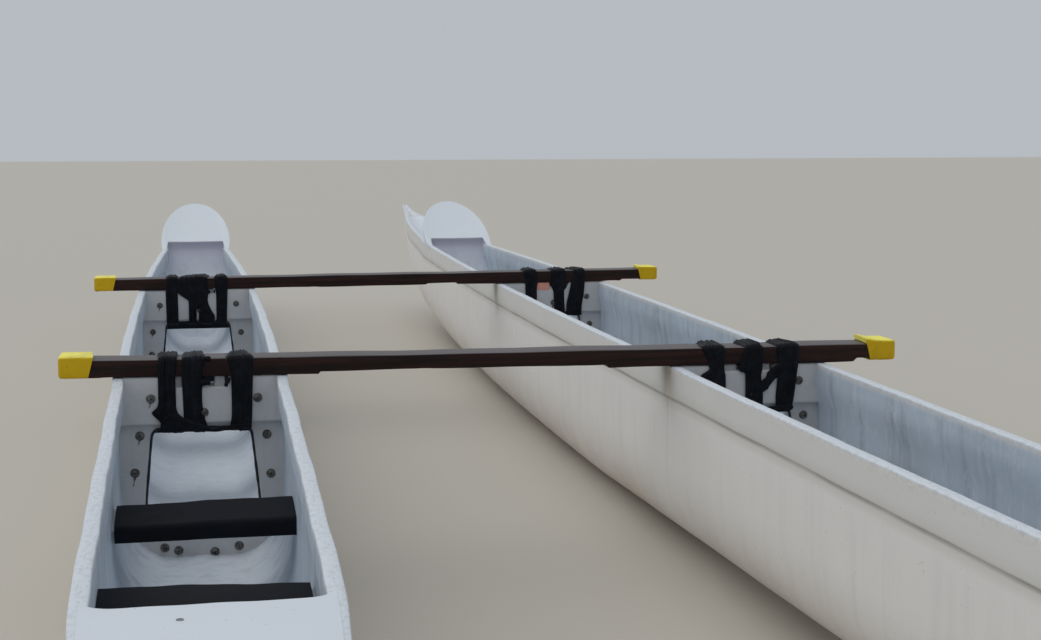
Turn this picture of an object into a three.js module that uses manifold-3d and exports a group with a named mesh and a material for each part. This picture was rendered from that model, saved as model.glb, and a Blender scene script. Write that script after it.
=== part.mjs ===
// A double-hulled paddling canoe: two identical six-seat glass-fibre hulls, side by side,
// joined by two flat wooden crossbeams that are lashed down to a bulkhead in each hull.
//
// Units are millimetres. +X is starboard, +Y is the bow, +Z is up. The pieces are laid out from
// a datum midway between the hulls, on the rear crossbeam's centreline, at gunwale height. The
// whole group is then moved so that its origin is the middle of the bottom of its box.

import * as THREE from 'three';
import { mergeVertices } from 'three/addons/utils/BufferGeometryUtils.js';
import Module from 'manifold-3d';

const wasm = await Module();
wasm.setup();

// Driving dimensions

const HULL_SPACING = 1758;
const HULLS = [
  { side: 'port', x: -HULL_SPACING / 2 },
  { side: 'starboard', x: HULL_SPACING / 2 },
];

const GAP = 0.4;
const FAR = 20000;

// Hull form. Each row is one cross-section of a hull, from the stern to the stem:
// y, half breadth at the gunwale, height of the gunwale, height of the keel, and the two
// exponents of the side's curve (a high drop and curve make a boxy section, low ones a V).
const STATION_COLUMNS = ['y', 'breadth', 'sheer', 'keel', 'drop', 'curve'];
const STATION_ROWS = [
  [-4550, 4, 84, 40, 1.5, 1.4],
  [-4490, 22, 78, -90, 1.6, 1.5],
  [-4320, 60, 62, -230, 1.8, 1.6],
  [-4000, 108, 38, -360, 2.2, 1.8],
  [-3500, 160, 14, -460, 2.8, 2.0],
  [-2900, 202, 0, -520, 3.6, 2.1],
  [-2400, 226, 0, -550, 4.2, 2.2],
  [-1500, 243, 0, -582, 4.8, 2.2],
  [0, 265, 0, -618, 5.0, 2.2],
  [800, 273, 0, -640, 5.0, 2.2],
  [1500, 278, 0, -655, 5.0, 2.2],
  [2200, 280, 0, -655, 5.0, 2.2],
  [3060, 277, 0, -655, 4.8, 2.2],
  [3700, 270, 0, -654, 4.5, 2.2],
  [4500, 254, 0, -648, 4.0, 2.1],
  [5300, 233, 0, -638, 3.4, 2.0],
  [6160, 207, 0, -620, 2.8, 1.9],
  [6700, 186, 24, -592, 2.4, 1.8],
  [7300, 156, 42, -536, 2.1, 1.7],
  [7900, 114, 66, -430, 1.9, 1.6],
  [8350, 68, 88, -315, 1.8, 1.5],
  [8650, 35, 112, -195, 1.7, 1.5],
  [8850, 14, 142, -70, 1.6, 1.4],
  [8950, 4, 162, 30, 1.5, 1.4],
];
const STATIONS = STATION_ROWS.map((row) => Object.fromEntries(
  STATION_COLUMNS.map((name, i) => [name, row[i]]),
));

const STRAKE_DEPTH = 100;
const STRAKE_PROUD = 6;
const RIM_ROUND = 9;
const RIM_WIDTH = 33;
const RIM_DEPTH = 70;
const WALL = 16;
const WALL_START = 160;
const BOTTOM_THICKNESS = 48;
const CURVE_STEPS = [0.22, 0.42, 0.58, 0.7, 0.8, 0.88, 0.94, 0.98];
const WELL = { back: -4150, front: 8330 };

// Cockpit ends
const STERN_DECK = { edge: -2510, panel: -2640, thickness: 30, drop: 0 };
const BOW_DECK = { edge: 6100, foot: 5730, thickness: 24, drop: 8 };
const PANEL_THICKNESS = 20;

// Splash board at the foot of the bow deck
const BOARD = {
  base: 5985, rise: 0.48, thickness: 16, halfWidth: 219, straight: 120, length: 622, cheek: 44,
};
const STEP = { y: 6060, depth: 90, height: 46 };

// Bulkheads, one under each crossbeam. z values are below the gunwale.
const BULKHEAD = {
  top: -16, halfDepth: 30, bridgeHalfDepth: 55, bridgeFoot: -132,
};
const ARCH = {
  top: -155, topHalf: 150, corner: 16, shoulder: -380, footHalf: 174, foot: -490, footCorner: 40,
};
const PACKERS = [
  { x: -76, width: 40 },
  { x: 54, width: 48 },
];
const PACKER_DEPTH = 80;
const SHOULDER = { foot: 78, head: 96 };

// Crossbeams
const BEAM = { height: 50, depth: 120, edge: 5 };
const BEAMS = [
  { name: 'rear', y: 0, bottom: 20, left: -1300, right: 1383 },
  { name: 'front', y: 3060, bottom: 10, left: -1365, right: 1432 },
];
const CAP = { wall: 5, roof: 12, floor: 3, length: 104, slant: 16, grip: GAP };

// Lashings: left and right edges of each strap, from its hull's centreline
const STRAP = { thickness: 4, foot: -158, bandHeight: 22 };
const LASHINGS = {
  port_rear: [[-140, -84], [-52, 4], [88, 142]],
  port_front: [[-138, -87], [-36, 53], [92, 142]],
  starboard_rear: [[-123, -73], [0, 49], [86, 142]],
  starboard_front: [[-120, -62], [3, 60], [76, 142]],
};

// Benches, from the bow: middle of the bench, and the height of its pad's top
const SEATS = [
  { seat: 1, y: 5200, top: -250 },
  { seat: 2, y: 4160, top: -250 },
  { seat: 3, y: 2020, top: -250 },
  { seat: 4, y: 940, top: -250 },
  { seat: 5, y: -735, top: -250 },
  { seat: 6, y: -1815, top: -200 },
];
const PAD = { depth: 270, thickness: 12, skirt: 54 };
const BENCH_THICKNESS = 38;

// Materials

function finish(color, roughness, metalness = 0) {
  return () => new THREE.MeshStandardMaterial({ color, roughness, metalness });
}

const FINISHES = {
  gelcoat: finish(0xe4e3de, 0.45),
  flange: finish(0xc9cbcc, 0.6),
  bench: finish(0xdfe2e2, 0.6),
  foam: finish(0x1b1e24, 0.9),
  webbing: finish(0x14161b, 0.85),
  timber: finish(0x2e211e, 0.7),
  cap: finish(0xe3c21c, 0.5),
};

// Solid modelling helpers

function solidOf(geometry) {
  const bare = geometry.index ? geometry.toNonIndexed() : geometry.clone();
  bare.deleteAttribute('normal');
  bare.deleteAttribute('uv');
  const merged = mergeVertices(bare, 1e-4);
  const mesh = new wasm.Mesh({
    numProp: 3,
    vertProperties: new Float32Array(merged.attributes.position.array),
    triVerts: new Uint32Array(merged.index.array),
  });
  return new wasm.Manifold(mesh);
}

function geometryOf(solid) {
  const mesh = solid.getMesh();
  const geometry = new THREE.BufferGeometry();
  geometry.setAttribute('position', new THREE.BufferAttribute(mesh.vertProperties, 3));
  geometry.setIndex(new THREE.BufferAttribute(mesh.triVerts, 1));
  return geometry;
}

function block(x0, x1, y0, y1, z0, z1) {
  const geometry = new THREE.BoxGeometry(x1 - x0, y1 - y0, z1 - z0);
  geometry.translate((x0 + x1) / 2, (y0 + y1) / 2, (z0 + z1) / 2);
  return solidOf(geometry);
}

// A closed loft through sections that all have the same number of corners.
// Each section is { y, points: [[x, z], ...] }, its points in one turning sense.
function loft(sections) {
  const corners = sections[0].points.length;
  const positions = [];
  const indices = [];
  for (const section of sections) {
    for (const [x, z] of section.points) {
      positions.push(x, section.y, z);
    }
  }
  for (let s = 0; s + 1 < sections.length; s += 1) {
    for (let i = 0; i < corners; i += 1) {
      const next = (i + 1) % corners;
      const a = s * corners + i;
      const b = s * corners + next;
      indices.push(a, b, a + corners, b, b + corners, a + corners);
    }
  }
  const outline = sections[0].points.map(([x, z]) => new THREE.Vector2(x, z));
  const end = sections[sections.length - 1];
  const endOutline = end.points.map(([x, z]) => new THREE.Vector2(x, z));
  const last = (sections.length - 1) * corners;
  for (const [a, b, c] of THREE.ShapeUtils.triangulateShape(outline, [])) {
    indices.push(a, b, c);
  }
  for (const [a, b, c] of THREE.ShapeUtils.triangulateShape(endOutline, [])) {
    indices.push(last + a, last + c, last + b);
  }
  const geometry = new THREE.BufferGeometry();
  geometry.setAttribute('position', new THREE.BufferAttribute(new Float32Array(positions), 3));
  geometry.setIndex(indices);
  return solidOf(outwards(geometry));
}

// Turns a closed geometry's triangles round if they face inwards.
function outwards(geometry) {
  const p = geometry.attributes.position;
  const index = geometry.index;
  let volume = 0;
  const [a, b, c] = [new THREE.Vector3(), new THREE.Vector3(), new THREE.Vector3()];
  for (let i = 0; i < index.count; i += 3) {
    a.fromBufferAttribute(p, index.getX(i));
    b.fromBufferAttribute(p, index.getX(i + 1));
    c.fromBufferAttribute(p, index.getX(i + 2));
    volume += a.dot(b.cross(c));
  }
  if (volume < 0) {
    for (let i = 0; i < index.count; i += 3) {
      const swap = index.getX(i + 1);
      index.setX(i + 1, index.getX(i + 2));
      index.setX(i + 2, swap);
    }
  }
  return geometry;
}

// Extrudes an outline drawn in Y and Z along X.
function prismAlongX(outline, x0, x1) {
  const shape = new THREE.Shape(outline.map(([y, z]) => new THREE.Vector2(y, z)));
  const geometry = new THREE.ExtrudeGeometry(shape, { depth: x1 - x0, bevelEnabled: false });
  geometry.applyMatrix4(new THREE.Matrix4().set(
    0, 0, 1, x0,
    1, 0, 0, 0,
    0, 1, 0, 0,
    0, 0, 0, 1,
  ));
  return solidOf(geometry);
}

// Extrudes a shape drawn in X and Z along Y.
function prismAlongY(shape, y0, y1) {
  const geometry = new THREE.ExtrudeGeometry(shape, {
    depth: y1 - y0, bevelEnabled: false, curveSegments: 5,
  });
  geometry.rotateX(Math.PI / 2);
  geometry.translate(0, y1, 0);
  return solidOf(geometry);
}

// Hull form

function stationAt(y) {
  const i = Math.max(1, STATIONS.findIndex((row) => row.y >= y));
  const [low, high] = [STATIONS[i - 1], STATIONS[i]];
  const t = (y - low.y) / (high.y - low.y);
  return Object.fromEntries(STATION_COLUMNS.map((name) => [
    name, THREE.MathUtils.lerp(low[name], high[name], t),
  ]));
}

// Rows between two places, with new rows at both places.
function stationsBetween(y0, y1) {
  const inner = STATIONS.filter((row) => row.y > y0 + 1 && row.y < y1 - 1);
  return [stationAt(y0), ...inner, stationAt(y1)];
}

// The side's curve from its top corner down to the keel: x/half to the power curve, plus
// the fraction of the depth to the power drop, is one.
function sideCurve(half, top, bottom, row) {
  return CURVE_STEPS.map((t) => [
    half * (1 - t ** row.drop) ** (1 / row.curve),
    top + (bottom - top) * t,
  ]);
}

function mirrored(right, bottom) {
  const left = right.map(([x, z]) => [-x, z]).reverse();
  return [...right, [0, bottom], ...left];
}

function outerSection(row) {
  const depth = row.sheer - row.keel;
  const strake = Math.min(STRAKE_DEPTH, depth * 0.4);
  const round = Math.min(RIM_ROUND, row.breadth * 0.3, strake * 0.3);
  const side = Math.max(row.breadth - STRAKE_PROUD, row.breadth * 0.7);
  const lap = row.sheer - strake;
  const right = [
    [row.breadth - round, row.sheer],
    [row.breadth, row.sheer - round],
    [row.breadth, lap + STRAKE_PROUD],
    [side, lap],
    ...sideCurve(side, lap, row.keel, row),
  ];
  return { y: row.y, points: mirrored(right, row.keel) };
}

// The space inside a hull, reaching above the gunwale. A positive inset makes it smaller.
function wellSection(row, inset) {
  const top = row.sheer - WALL_START;
  const bottom = row.keel + BOTTOM_THICKNESS + inset;
  const rim = row.breadth - RIM_WIDTH - inset;
  const wall = Math.max(row.breadth - WALL - inset - (row.breadth < 150 ? 10 : 0), rim);
  const right = [
    [rim, row.sheer + 300],
    [rim, row.sheer - RIM_DEPTH],
    [wall, top],
    ...sideCurve(wall, top, bottom, row),
  ];
  return { y: row.y, points: mirrored(right, bottom) };
}

const hullForm = loft(STATIONS.map(outerSection));

function wellBetween(y0, y1, inset) {
  return loft(stationsBetween(y0, y1).map((row) => wellSection(row, inset)));
}

const hullWell = wellBetween(WELL.back, WELL.front, 0);
const fittedWell = wellBetween(WELL.back + GAP, WELL.front - GAP, GAP);
const hullShell = hullForm.subtract(hullWell);

function hullPart(y0, y1) {
  return hullShell.intersect(block(-FAR, FAR, y0, y1, -FAR, FAR));
}

// A strip of deck between two places, that follows the gunwale.
function deckStrip(y0, y1, deck) {
  const sections = stationsBetween(y0, y1).map((row) => {
    const top = row.sheer - deck.drop;
    const bottom = top - deck.thickness;
    const half = row.breadth;
    return { y: row.y, points: [[-half, top], [half, top], [half, bottom], [-half, bottom]] };
  });
  return loft(sections);
}

function sternDeck() {
  const plate = deckStrip(WELL.back, STERN_DECK.edge, STERN_DECK);
  const back = STERN_DECK.panel - PANEL_THICKNESS;
  const panel = block(-FAR, FAR, back, STERN_DECK.panel, -FAR, -1);
  return plate.add(panel).intersect(fittedWell);
}

function bowDeck() {
  const plate = deckStrip(BOW_DECK.edge, WELL.front, BOW_DECK);
  const deep = -700;
  const top = -BOW_DECK.drop;
  const panel = prismAlongX([
    [BOW_DECK.edge, top],
    [BOW_DECK.edge + PANEL_THICKNESS, top],
    [BOW_DECK.foot + PANEL_THICKNESS, deep],
    [BOW_DECK.foot, deep],
  ], -FAR, FAR);
  return plate.add(panel).intersect(fittedWell);
}

// The splash board leans forward from the deck's edge. It is drawn flat, its foot on y = 0,
// then turned to its slope, and its middle is cut back to a short upright step.
function splashBoard() {
  const { halfWidth, straight, length } = BOARD;
  const shape = new THREE.Shape();
  const foot = -120;
  shape.moveTo(-halfWidth, foot);
  shape.lineTo(halfWidth, foot);
  shape.lineTo(halfWidth, straight);
  shape.absellipse(0, straight, halfWidth, length - straight, 0, Math.PI, false, 0);
  shape.lineTo(-halfWidth, foot);
  const geometry = new THREE.ExtrudeGeometry(shape, {
    depth: BOARD.thickness, bevelEnabled: false, curveSegments: 10,
  });
  geometry.rotateX(Math.atan(BOARD.rise));
  geometry.translate(0, BOARD.base, 0);
  const slab = solidOf(geometry);
  const inner = halfWidth - BOARD.cheek;
  const notch = block(-inner, inner, BOARD.base - 300, STEP.y, -300, STEP.height);
  const step = block(-inner - 4, inner + 4, STEP.y, STEP.y + STEP.depth, 0, STEP.height + 4);
  const underside = block(-FAR, FAR, -FAR, FAR, -FAR, GAP);
  return slab.subtract(notch).add(step).subtract(underside);
}

// The opening through a bulkhead for the paddler's legs, with round corners.
function archShape() {
  const { top, topHalf, corner, shoulder, footHalf, foot, footCorner } = ARCH;
  const shape = new THREE.Shape();
  shape.moveTo(-topHalf + corner, top);
  shape.quadraticCurveTo(-topHalf, top, -topHalf - 2, top - corner);
  shape.lineTo(-footHalf, shoulder);
  shape.lineTo(-footHalf, foot + footCorner);
  shape.quadraticCurveTo(-footHalf, foot, -footHalf + footCorner, foot);
  shape.lineTo(footHalf - footCorner, foot);
  shape.quadraticCurveTo(footHalf, foot, footHalf, foot + footCorner);
  shape.lineTo(footHalf, shoulder);
  shape.lineTo(topHalf + 2, top - corner);
  shape.quadraticCurveTo(topHalf, top, topHalf - corner, top);
  shape.lineTo(-topHalf + corner, top);
  return shape;
}

// The plate, the thick bridge over its arch, and a shoulder on each side of the bridge that
// carries the crossbeam. Two packing blocks carry it between the shoulders.
function bulkhead({ y, bottom }) {
  const { top, halfDepth, bridgeHalfDepth, bridgeFoot } = BULKHEAD;
  const seat = bottom - GAP;
  const plate = block(-FAR, FAR, y - halfDepth, y + halfDepth, -FAR, top);
  const bridge = block(-FAR, FAR, y - bridgeHalfDepth, y + bridgeHalfDepth, bridgeFoot, seat);
  const notch = prismAlongY(new THREE.Shape([
    [-SHOULDER.foot, top], [SHOULDER.foot, top],
    [SHOULDER.head, seat + 1], [-SHOULDER.head, seat + 1],
  ].map(([x, z]) => new THREE.Vector2(x, z))), y - 200, y + 200);
  const arch = prismAlongY(archShape(), y - 200, y + 200);
  let solid = plate.add(bridge).subtract(notch).intersect(fittedWell).subtract(arch);
  for (const packer of PACKERS) {
    solid = solid.add(block(
      packer.x - packer.width / 2, packer.x + packer.width / 2,
      y - PACKER_DEPTH / 2, y + PACKER_DEPTH / 2,
      top - 1, seat,
    ));
  }
  return solid;
}

function crossbeam({ y, bottom, left, right }) {
  const e = BEAM.edge;
  const top = bottom + BEAM.height;
  const half = BEAM.depth / 2;
  const outline = [
    [y - half + e, bottom], [y + half - e, bottom],
    [y + half, bottom + e], [y + half, top - e],
    [y + half - e, top], [y - half + e, top],
    [y - half, top - e], [y - half, bottom + e],
  ];
  return prismAlongX(outline, left + CAP.wall + CAP.grip, right - CAP.wall - CAP.grip);
}

// A sleeve over a crossbeam's end. Its open edge is longer along the top than underneath.
function beamCap({ y, bottom }, end, inward) {
  const half = BEAM.depth / 2 + CAP.grip;
  const low = bottom - CAP.grip;
  const high = bottom + BEAM.height + CAP.grip;
  const reach = CAP.length;
  const corners = [
    [end, low - CAP.floor],
    [end + inward * (reach - CAP.slant), low - CAP.floor],
    [end + inward * reach, high + CAP.roof],
    [end, high + CAP.roof],
  ];
  const shape = new THREE.Shape(corners.map(([x, z]) => new THREE.Vector2(x, z)));
  const sleeve = prismAlongY(shape, y - half - CAP.wall, y + half + CAP.wall);
  const inside = [end + inward * CAP.wall, end + inward * (reach + 100)].sort((a, b) => a - b);
  return sleeve.subtract(block(inside[0], inside[1], y - half, y + half, low, high));
}

// Straps that pass over the beam, down both faces and under the bulkhead's bridge, with one
// turn of webbing along their feet on the side that faces the stern.
function lashing({ y, bottom }, straps) {
  const inner = BEAM.depth / 2 + GAP;
  const outer = inner + STRAP.thickness;
  const head = bottom + BEAM.height + GAP;
  const foot = STRAP.foot;
  const t = STRAP.thickness;
  const left = straps[0][0];
  const right = straps[straps.length - 1][1];
  let solid = block(left, right, y - outer, y - inner, foot - t, foot + STRAP.bandHeight);
  for (const [x0, x1] of straps) {
    const ring = block(x0, x1, y - outer, y + outer, foot - t, head + t)
      .subtract(block(x0 - 1, x1 + 1, y - inner, y + inner, foot, head));
    solid = solid.add(ring);
  }
  return solid;
}

function bench({ y, top }) {
  const half = PAD.depth / 2 - PAD.thickness - GAP;
  const high = top - PAD.thickness - GAP;
  return block(-FAR, FAR, y - half, y + half, high - BENCH_THICKNESS, high).intersect(fittedWell);
}

// A foam sheet wrapped over the bench and down both of its faces.
function benchPad({ y, top }) {
  const half = PAD.depth / 2;
  const t = PAD.thickness;
  const cover = block(-FAR, FAR, y - half, y + half, top - PAD.skirt, top);
  const hollow = block(-FAR, FAR, y - half + t, y + half - t, top - FAR, top - t);
  return cover.subtract(hollow).intersect(fittedWell);
}

// Assembly

const canoe = new THREE.Group();
const origin = {
  x: (BEAMS[1].left + BEAMS[1].right) / 2,
  y: (STATIONS[0].y + STATIONS[STATIONS.length - 1].y) / 2,
  z: Math.min(...STATIONS.map((row) => row.keel)),
};
canoe.position.set(-origin.x, -origin.y, -origin.z);

function place(name, solid, material, x = 0) {
  const mesh = new THREE.Mesh(geometryOf(solid), FINISHES[material]());
  mesh.name = name;
  mesh.position.x = x;
  canoe.add(mesh);
}

const JOINTS = BEAMS.map((beam) => beam.y);
const SECTIONS = [
  { name: 'stern', y0: -FAR, y1: JOINTS[0] - GAP / 2 },
  { name: 'middle', y0: JOINTS[0] + GAP / 2, y1: JOINTS[1] - GAP / 2 },
  { name: 'bow', y0: JOINTS[1] + GAP / 2, y1: FAR },
];

for (const { side, x } of HULLS) {
  for (const { name, y0, y1 } of SECTIONS) {
    place(`hull_${side}_${name}`, hullPart(y0, y1), 'gelcoat', x);
  }
  place(`deck_${side}_stern`, sternDeck(), 'gelcoat', x);
  place(`deck_${side}_bow`, bowDeck(), 'gelcoat', x);
  place(`splash_board_${side}`, splashBoard(), 'gelcoat', x);
  for (const beam of BEAMS) {
    const joint = `${side}_${beam.name}`;
    place(`bulkhead_${joint}`, bulkhead(beam), 'flange', x);
    place(`lashing_${joint}`, lashing(beam, LASHINGS[joint]), 'webbing', x);
  }
  for (const row of SEATS) {
    place(`bench_${side}_${row.seat}`, bench(row), 'bench', x);
    place(`pad_${side}_${row.seat}`, benchPad(row), 'foam', x);
  }
}

for (const beam of BEAMS) {
  place(`crossbeam_${beam.name}`, crossbeam(beam), 'timber');
  place(`cap_${beam.name}_port`, beamCap(beam, beam.left, 1), 'cap');
  place(`cap_${beam.name}_starboard`, beamCap(beam, beam.right, -1), 'cap');
}

export default canoe;
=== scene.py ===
# %% [markdown]
# # A double-hulled paddling canoe
#
# Two white six-seat hulls stand side by side and two wet hardwood beams are lashed across them.
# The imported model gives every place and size. This file makes the surfaces that are seen: the
# moulded hulls, the lashings, the foam on the benches, the timber and the taped beam ends.
#
# Every shape is a grid of points worked out as whole numpy arrays: a curve is carried along a
# path, or a height is a function of two numbers. The grid then goes into a mesh in one go.

import math

import bmesh
import bpy
import numpy as np
from mathutils import Matrix, Vector


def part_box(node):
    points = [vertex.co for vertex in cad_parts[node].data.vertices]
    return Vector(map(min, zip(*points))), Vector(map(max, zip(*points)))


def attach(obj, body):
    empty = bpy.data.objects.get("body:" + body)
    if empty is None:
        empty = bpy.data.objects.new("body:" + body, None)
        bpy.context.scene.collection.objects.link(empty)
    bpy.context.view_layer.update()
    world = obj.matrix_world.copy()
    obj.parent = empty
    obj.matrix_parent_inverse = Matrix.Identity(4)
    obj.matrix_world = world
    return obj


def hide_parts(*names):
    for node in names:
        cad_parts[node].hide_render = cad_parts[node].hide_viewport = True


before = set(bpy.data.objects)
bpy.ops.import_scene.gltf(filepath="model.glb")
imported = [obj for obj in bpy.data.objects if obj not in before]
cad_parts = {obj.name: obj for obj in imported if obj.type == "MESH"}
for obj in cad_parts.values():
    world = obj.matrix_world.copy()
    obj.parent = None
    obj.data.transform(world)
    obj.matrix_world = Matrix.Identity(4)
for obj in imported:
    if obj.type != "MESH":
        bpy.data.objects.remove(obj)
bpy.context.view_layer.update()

# Places are measured along the hulls from the rear beam's middle and up from the gunwales, and
# the rear beam's underside lies this far over the gunwales.
REAR_BEAM_BOTTOM = 0.020

beam_low, beam_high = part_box("crossbeam_rear")
DATUM_Y = (beam_low.y + beam_high.y) / 2
GUNWALE_Z = beam_low.z - REAR_BEAM_BOTTOM
FRONT_BEAM_Y = sum(corner.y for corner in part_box("crossbeam_front")) / 2 - DATUM_Y
BEAM_PLACES = {"rear": 0.0, "front": FRONT_BEAM_Y}
BEAM_BOTTOM = {end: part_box(f"crossbeam_{end}")[0].z - GUNWALE_Z for end in BEAM_PLACES}
BEAM_TOP = {end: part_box(f"crossbeam_{end}")[1].z - GUNWALE_Z for end in BEAM_PLACES}

HULL_X = {}
for side in ("port", "starboard"):
    low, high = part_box(f"hull_{side}_middle")
    HULL_X[side] = (low.x + high.x) / 2
print("hull centrelines", HULL_X, "gunwale height", round(GUNWALE_Z, 3))

# %% [markdown]
# ## How the beams lie
#
# The real beams aren't quite level. One end of each lies a few millimetres high, the middle sags,
# and thin packing boards fill the gap over a hull. They could be tilted as whole objects, but the
# gunwales, straps and sleeves have to meet them, so the height is a function that each can ask.

# %% Beam heights
BEAM_REACH = 1.35
# each end's height over the level beam, port and starboard
BEAM_SETTLING = {"rear": (0.005, -0.010), "front": (-0.004, 0.003)}
# how far a beam's middle sags
BEAM_SAG = {"rear": 0.0028, "front": 0.0010}
# each packing board's two ends in x, and its thickness
PACKING_BOARDS = {
    "rear": ((-2.0, -0.55, 0.0045), (0.370, 1.210, 0.0075)),
    "front": ((-2.0, 0.21, 0.0050), (0.365, 1.210, 0.0075)),
}
PACKING_END = 0.003
# how much thinner a beam is where no board lies under it
BEAM_WASTE = {"rear": 0.0030, "front": 0.0}


def smoothstep(low, high, value):
    """Zero below low, one above high, and an S curve between them."""
    t = np.clip((value - low) / (high - low), 0, 1)
    return t * t * (3 - 2 * t)


def beam_lift(end, x):
    """How far a beam lies above its level place at x: a straight line between its ends, and a
    sag, one less x over the reach squared."""
    port, starboard = BEAM_SETTLING[end]
    straight = port + (starboard - port) * (x + BEAM_REACH) / (2 * BEAM_REACH)
    return straight - BEAM_SAG[end] * (1 - np.clip(x / BEAM_REACH, -1, 1) ** 2)


def packing(end, x):
    """The thickness of the packing boards under a beam at x, with steep ends."""
    thickness = -BEAM_WASTE[end]
    for start, stop, depth in PACKING_BOARDS[end]:
        begun = smoothstep(start - PACKING_END, start + PACKING_END, x)
        ended = smoothstep(stop + PACKING_END, stop - PACKING_END, x)
        thickness = thickness + (depth + BEAM_WASTE[end]) * begun * ended
    return thickness


def beam_underside(side, end, x):
    """The height of a beam's lower face over a hull, at x from the hull's middle."""
    across = HULL_X[side] + x
    return BEAM_BOTTOM[end] + beam_lift(end, across) - packing(end, across)


for end in BEAM_PLACES:
    lifts = [round(1000 * float(beam_lift(end, x)), 1) for x in HULL_X.values()]
    print(end, "beam's height over level at the hulls, in mm", lifts)

# %% [markdown]
# ## The camera
#
# The photograph looks forward from behind the port hull, a little above the gunwales. A camera
# could be aimed at a point by a constraint, but a roll or a slip of a degree would show. Its place
# and three axes were worked out from the gunwales, the beams and the horizon instead, and are set
# as one matrix.

# %% Camera
LENS_MM = 57.41
SENSOR_MM = 36.0
CAMERA_PLACE = (-0.9235, -7.378, 1.4096)
CAMERA_RIGHT = (0.98114465, -0.19326965, -0.00142116)
CAMERA_DOWN = (-0.02303102, -0.10961131, -0.99370767)
CAMERA_AHEAD = (0.19189776, 0.97500369, -0.11199575)

camera_data = bpy.data.cameras.new("camera")
camera_data.sensor_width = SENSOR_MM
camera_data.lens = LENS_MM
camera_data.clip_end = 500
camera = bpy.data.objects.new("camera", camera_data)
bpy.context.scene.collection.objects.link(camera)
axes = np.array([CAMERA_RIGHT, np.negative(CAMERA_DOWN), np.negative(CAMERA_AHEAD)]).T
camera.matrix_world = Matrix.Translation(CAMERA_PLACE) @ Matrix(axes.tolist()).to_4x4()
bpy.context.scene.camera = camera
bpy.context.scene.view_settings.view_transform = "Standard"
print("camera", LENS_MM, "mm, at", CAMERA_PLACE)

# %% [markdown]
# ## Grids into meshes
#
# Forms as smooth as these could be modelled by hand and subdivided, or lofted from curves. Here a
# piece is a grid of rows and columns, because a grid needs only its points: the faces follow from
# counting. Where a grid closes on itself its last column meets its first. Points that fall
# together, at a pole or along a seam, are merged, and the normals are then turned outwards once
# for the whole closed piece.

# %% Grids
def grid_faces(rows, columns, wrap_rows=False, wrap_columns=False):
    """Four corners for each cell of a grid: here, one along, one along and one up, one up."""
    index = np.arange(rows * columns).reshape(rows, columns)
    if wrap_rows:
        index = np.vstack([index, index[:1]])
    if wrap_columns:
        index = np.hstack([index, index[:, :1]])
    cells = [index[:-1, :-1], index[:-1, 1:], index[1:, 1:], index[1:, :-1]]
    return np.stack(cells, -1).reshape(-1, 4)


def fan_faces(ring, middle):
    """Triangles from each edge of a ring of points to one middle point."""
    corners = [ring, np.roll(ring, -1), np.full(len(ring), middle), np.full(len(ring), middle)]
    return np.stack(corners, -1)


def full_turn(count, start=0.0):
    """Even angles once round a circle."""
    return start + np.linspace(0, 2 * np.pi, count, endpoint=False)


def unit(vectors):
    """The same directions with a length of one."""
    return vectors / np.maximum(np.linalg.norm(vectors, axis=-1, keepdims=True), 1e-12)


def outward_of(loop):
    """Directions out of an anticlockwise loop: the step past each point, turned by a quarter."""
    ahead = unit(np.roll(loop, -1, axis=0) - np.roll(loop, 1, axis=0))
    return np.stack([ahead[:, 1], -ahead[:, 0]], -1)


def between_points(at, places, points):
    """Where a broken line through the points lies, at places along it."""
    return np.stack([np.interp(at, places, column) for column in points.T], -1)


def standing(flat, y):
    """Points of a flat x, z outline, stood up at y."""
    return np.stack([flat[..., 0], np.broadcast_to(y, flat.shape[:-1]), flat[..., 1]], -1)


# %% Shapes
class Shape:
    """Closed surfaces that are gathered to become one mesh, with a number or two per point."""

    def __init__(self):
        self.points = []
        self.faces = []
        self.values = []
        self.count = 0

    def add(self, points, faces, **values):
        """One more surface. A value is one number for each of its points."""
        points = np.asarray(points, float).reshape(-1, 3)
        self.points.append(points)
        self.faces.append(np.asarray(faces) + self.count)
        self.values.append({key: np.ravel(v) for key, v in values.items()})
        self.count += len(points)

    def add_ring(self, points, **values):
        """A closed ring of points carried along a closed loop."""
        rows, columns = points.shape[:2]
        self.add(points, grid_faces(rows, columns, True, True), **values)

    def add_rod(self, points, **values):
        """A closed ring of points carried along an open path, its two ends closed by fans."""
        rows, columns = points.shape[:2]
        ends = points[[0, -1]].mean(axis=1)
        faces = grid_faces(rows, columns, False, True)
        first = fan_faces(np.arange(columns)[::-1], rows * columns)
        last = fan_faces(np.arange(columns) + (rows - 1) * columns, rows * columns + 1)
        flat = np.concatenate([points.reshape(-1, 3), ends])
        values = {
            key: np.concatenate([np.ravel(v), np.ravel(v)[[0, -1]]])
            for key, v in values.items()
        }
        self.add(flat, np.concatenate([faces, first, last]), **values)

    def add_shell(self, outer, inner, **values):
        """The space between two sheets of points whose long edges touch."""
        rows, columns = outer.shape[:2]
        sheet = grid_faces(rows, columns)
        here = np.arange(columns - 1)
        inner_start = rows * columns
        first = np.stack([here + 1, here, here + inner_start, here + inner_start + 1], -1)
        last = first[:, ::-1] + (rows - 1) * columns
        faces = np.concatenate([sheet, sheet[:, ::-1] + inner_start, first, last])
        both = np.concatenate([outer.reshape(-1, 3), inner.reshape(-1, 3)])
        self.add(both, faces, **values)


# %% Meshes and pieces
WELD = 2e-6


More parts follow.
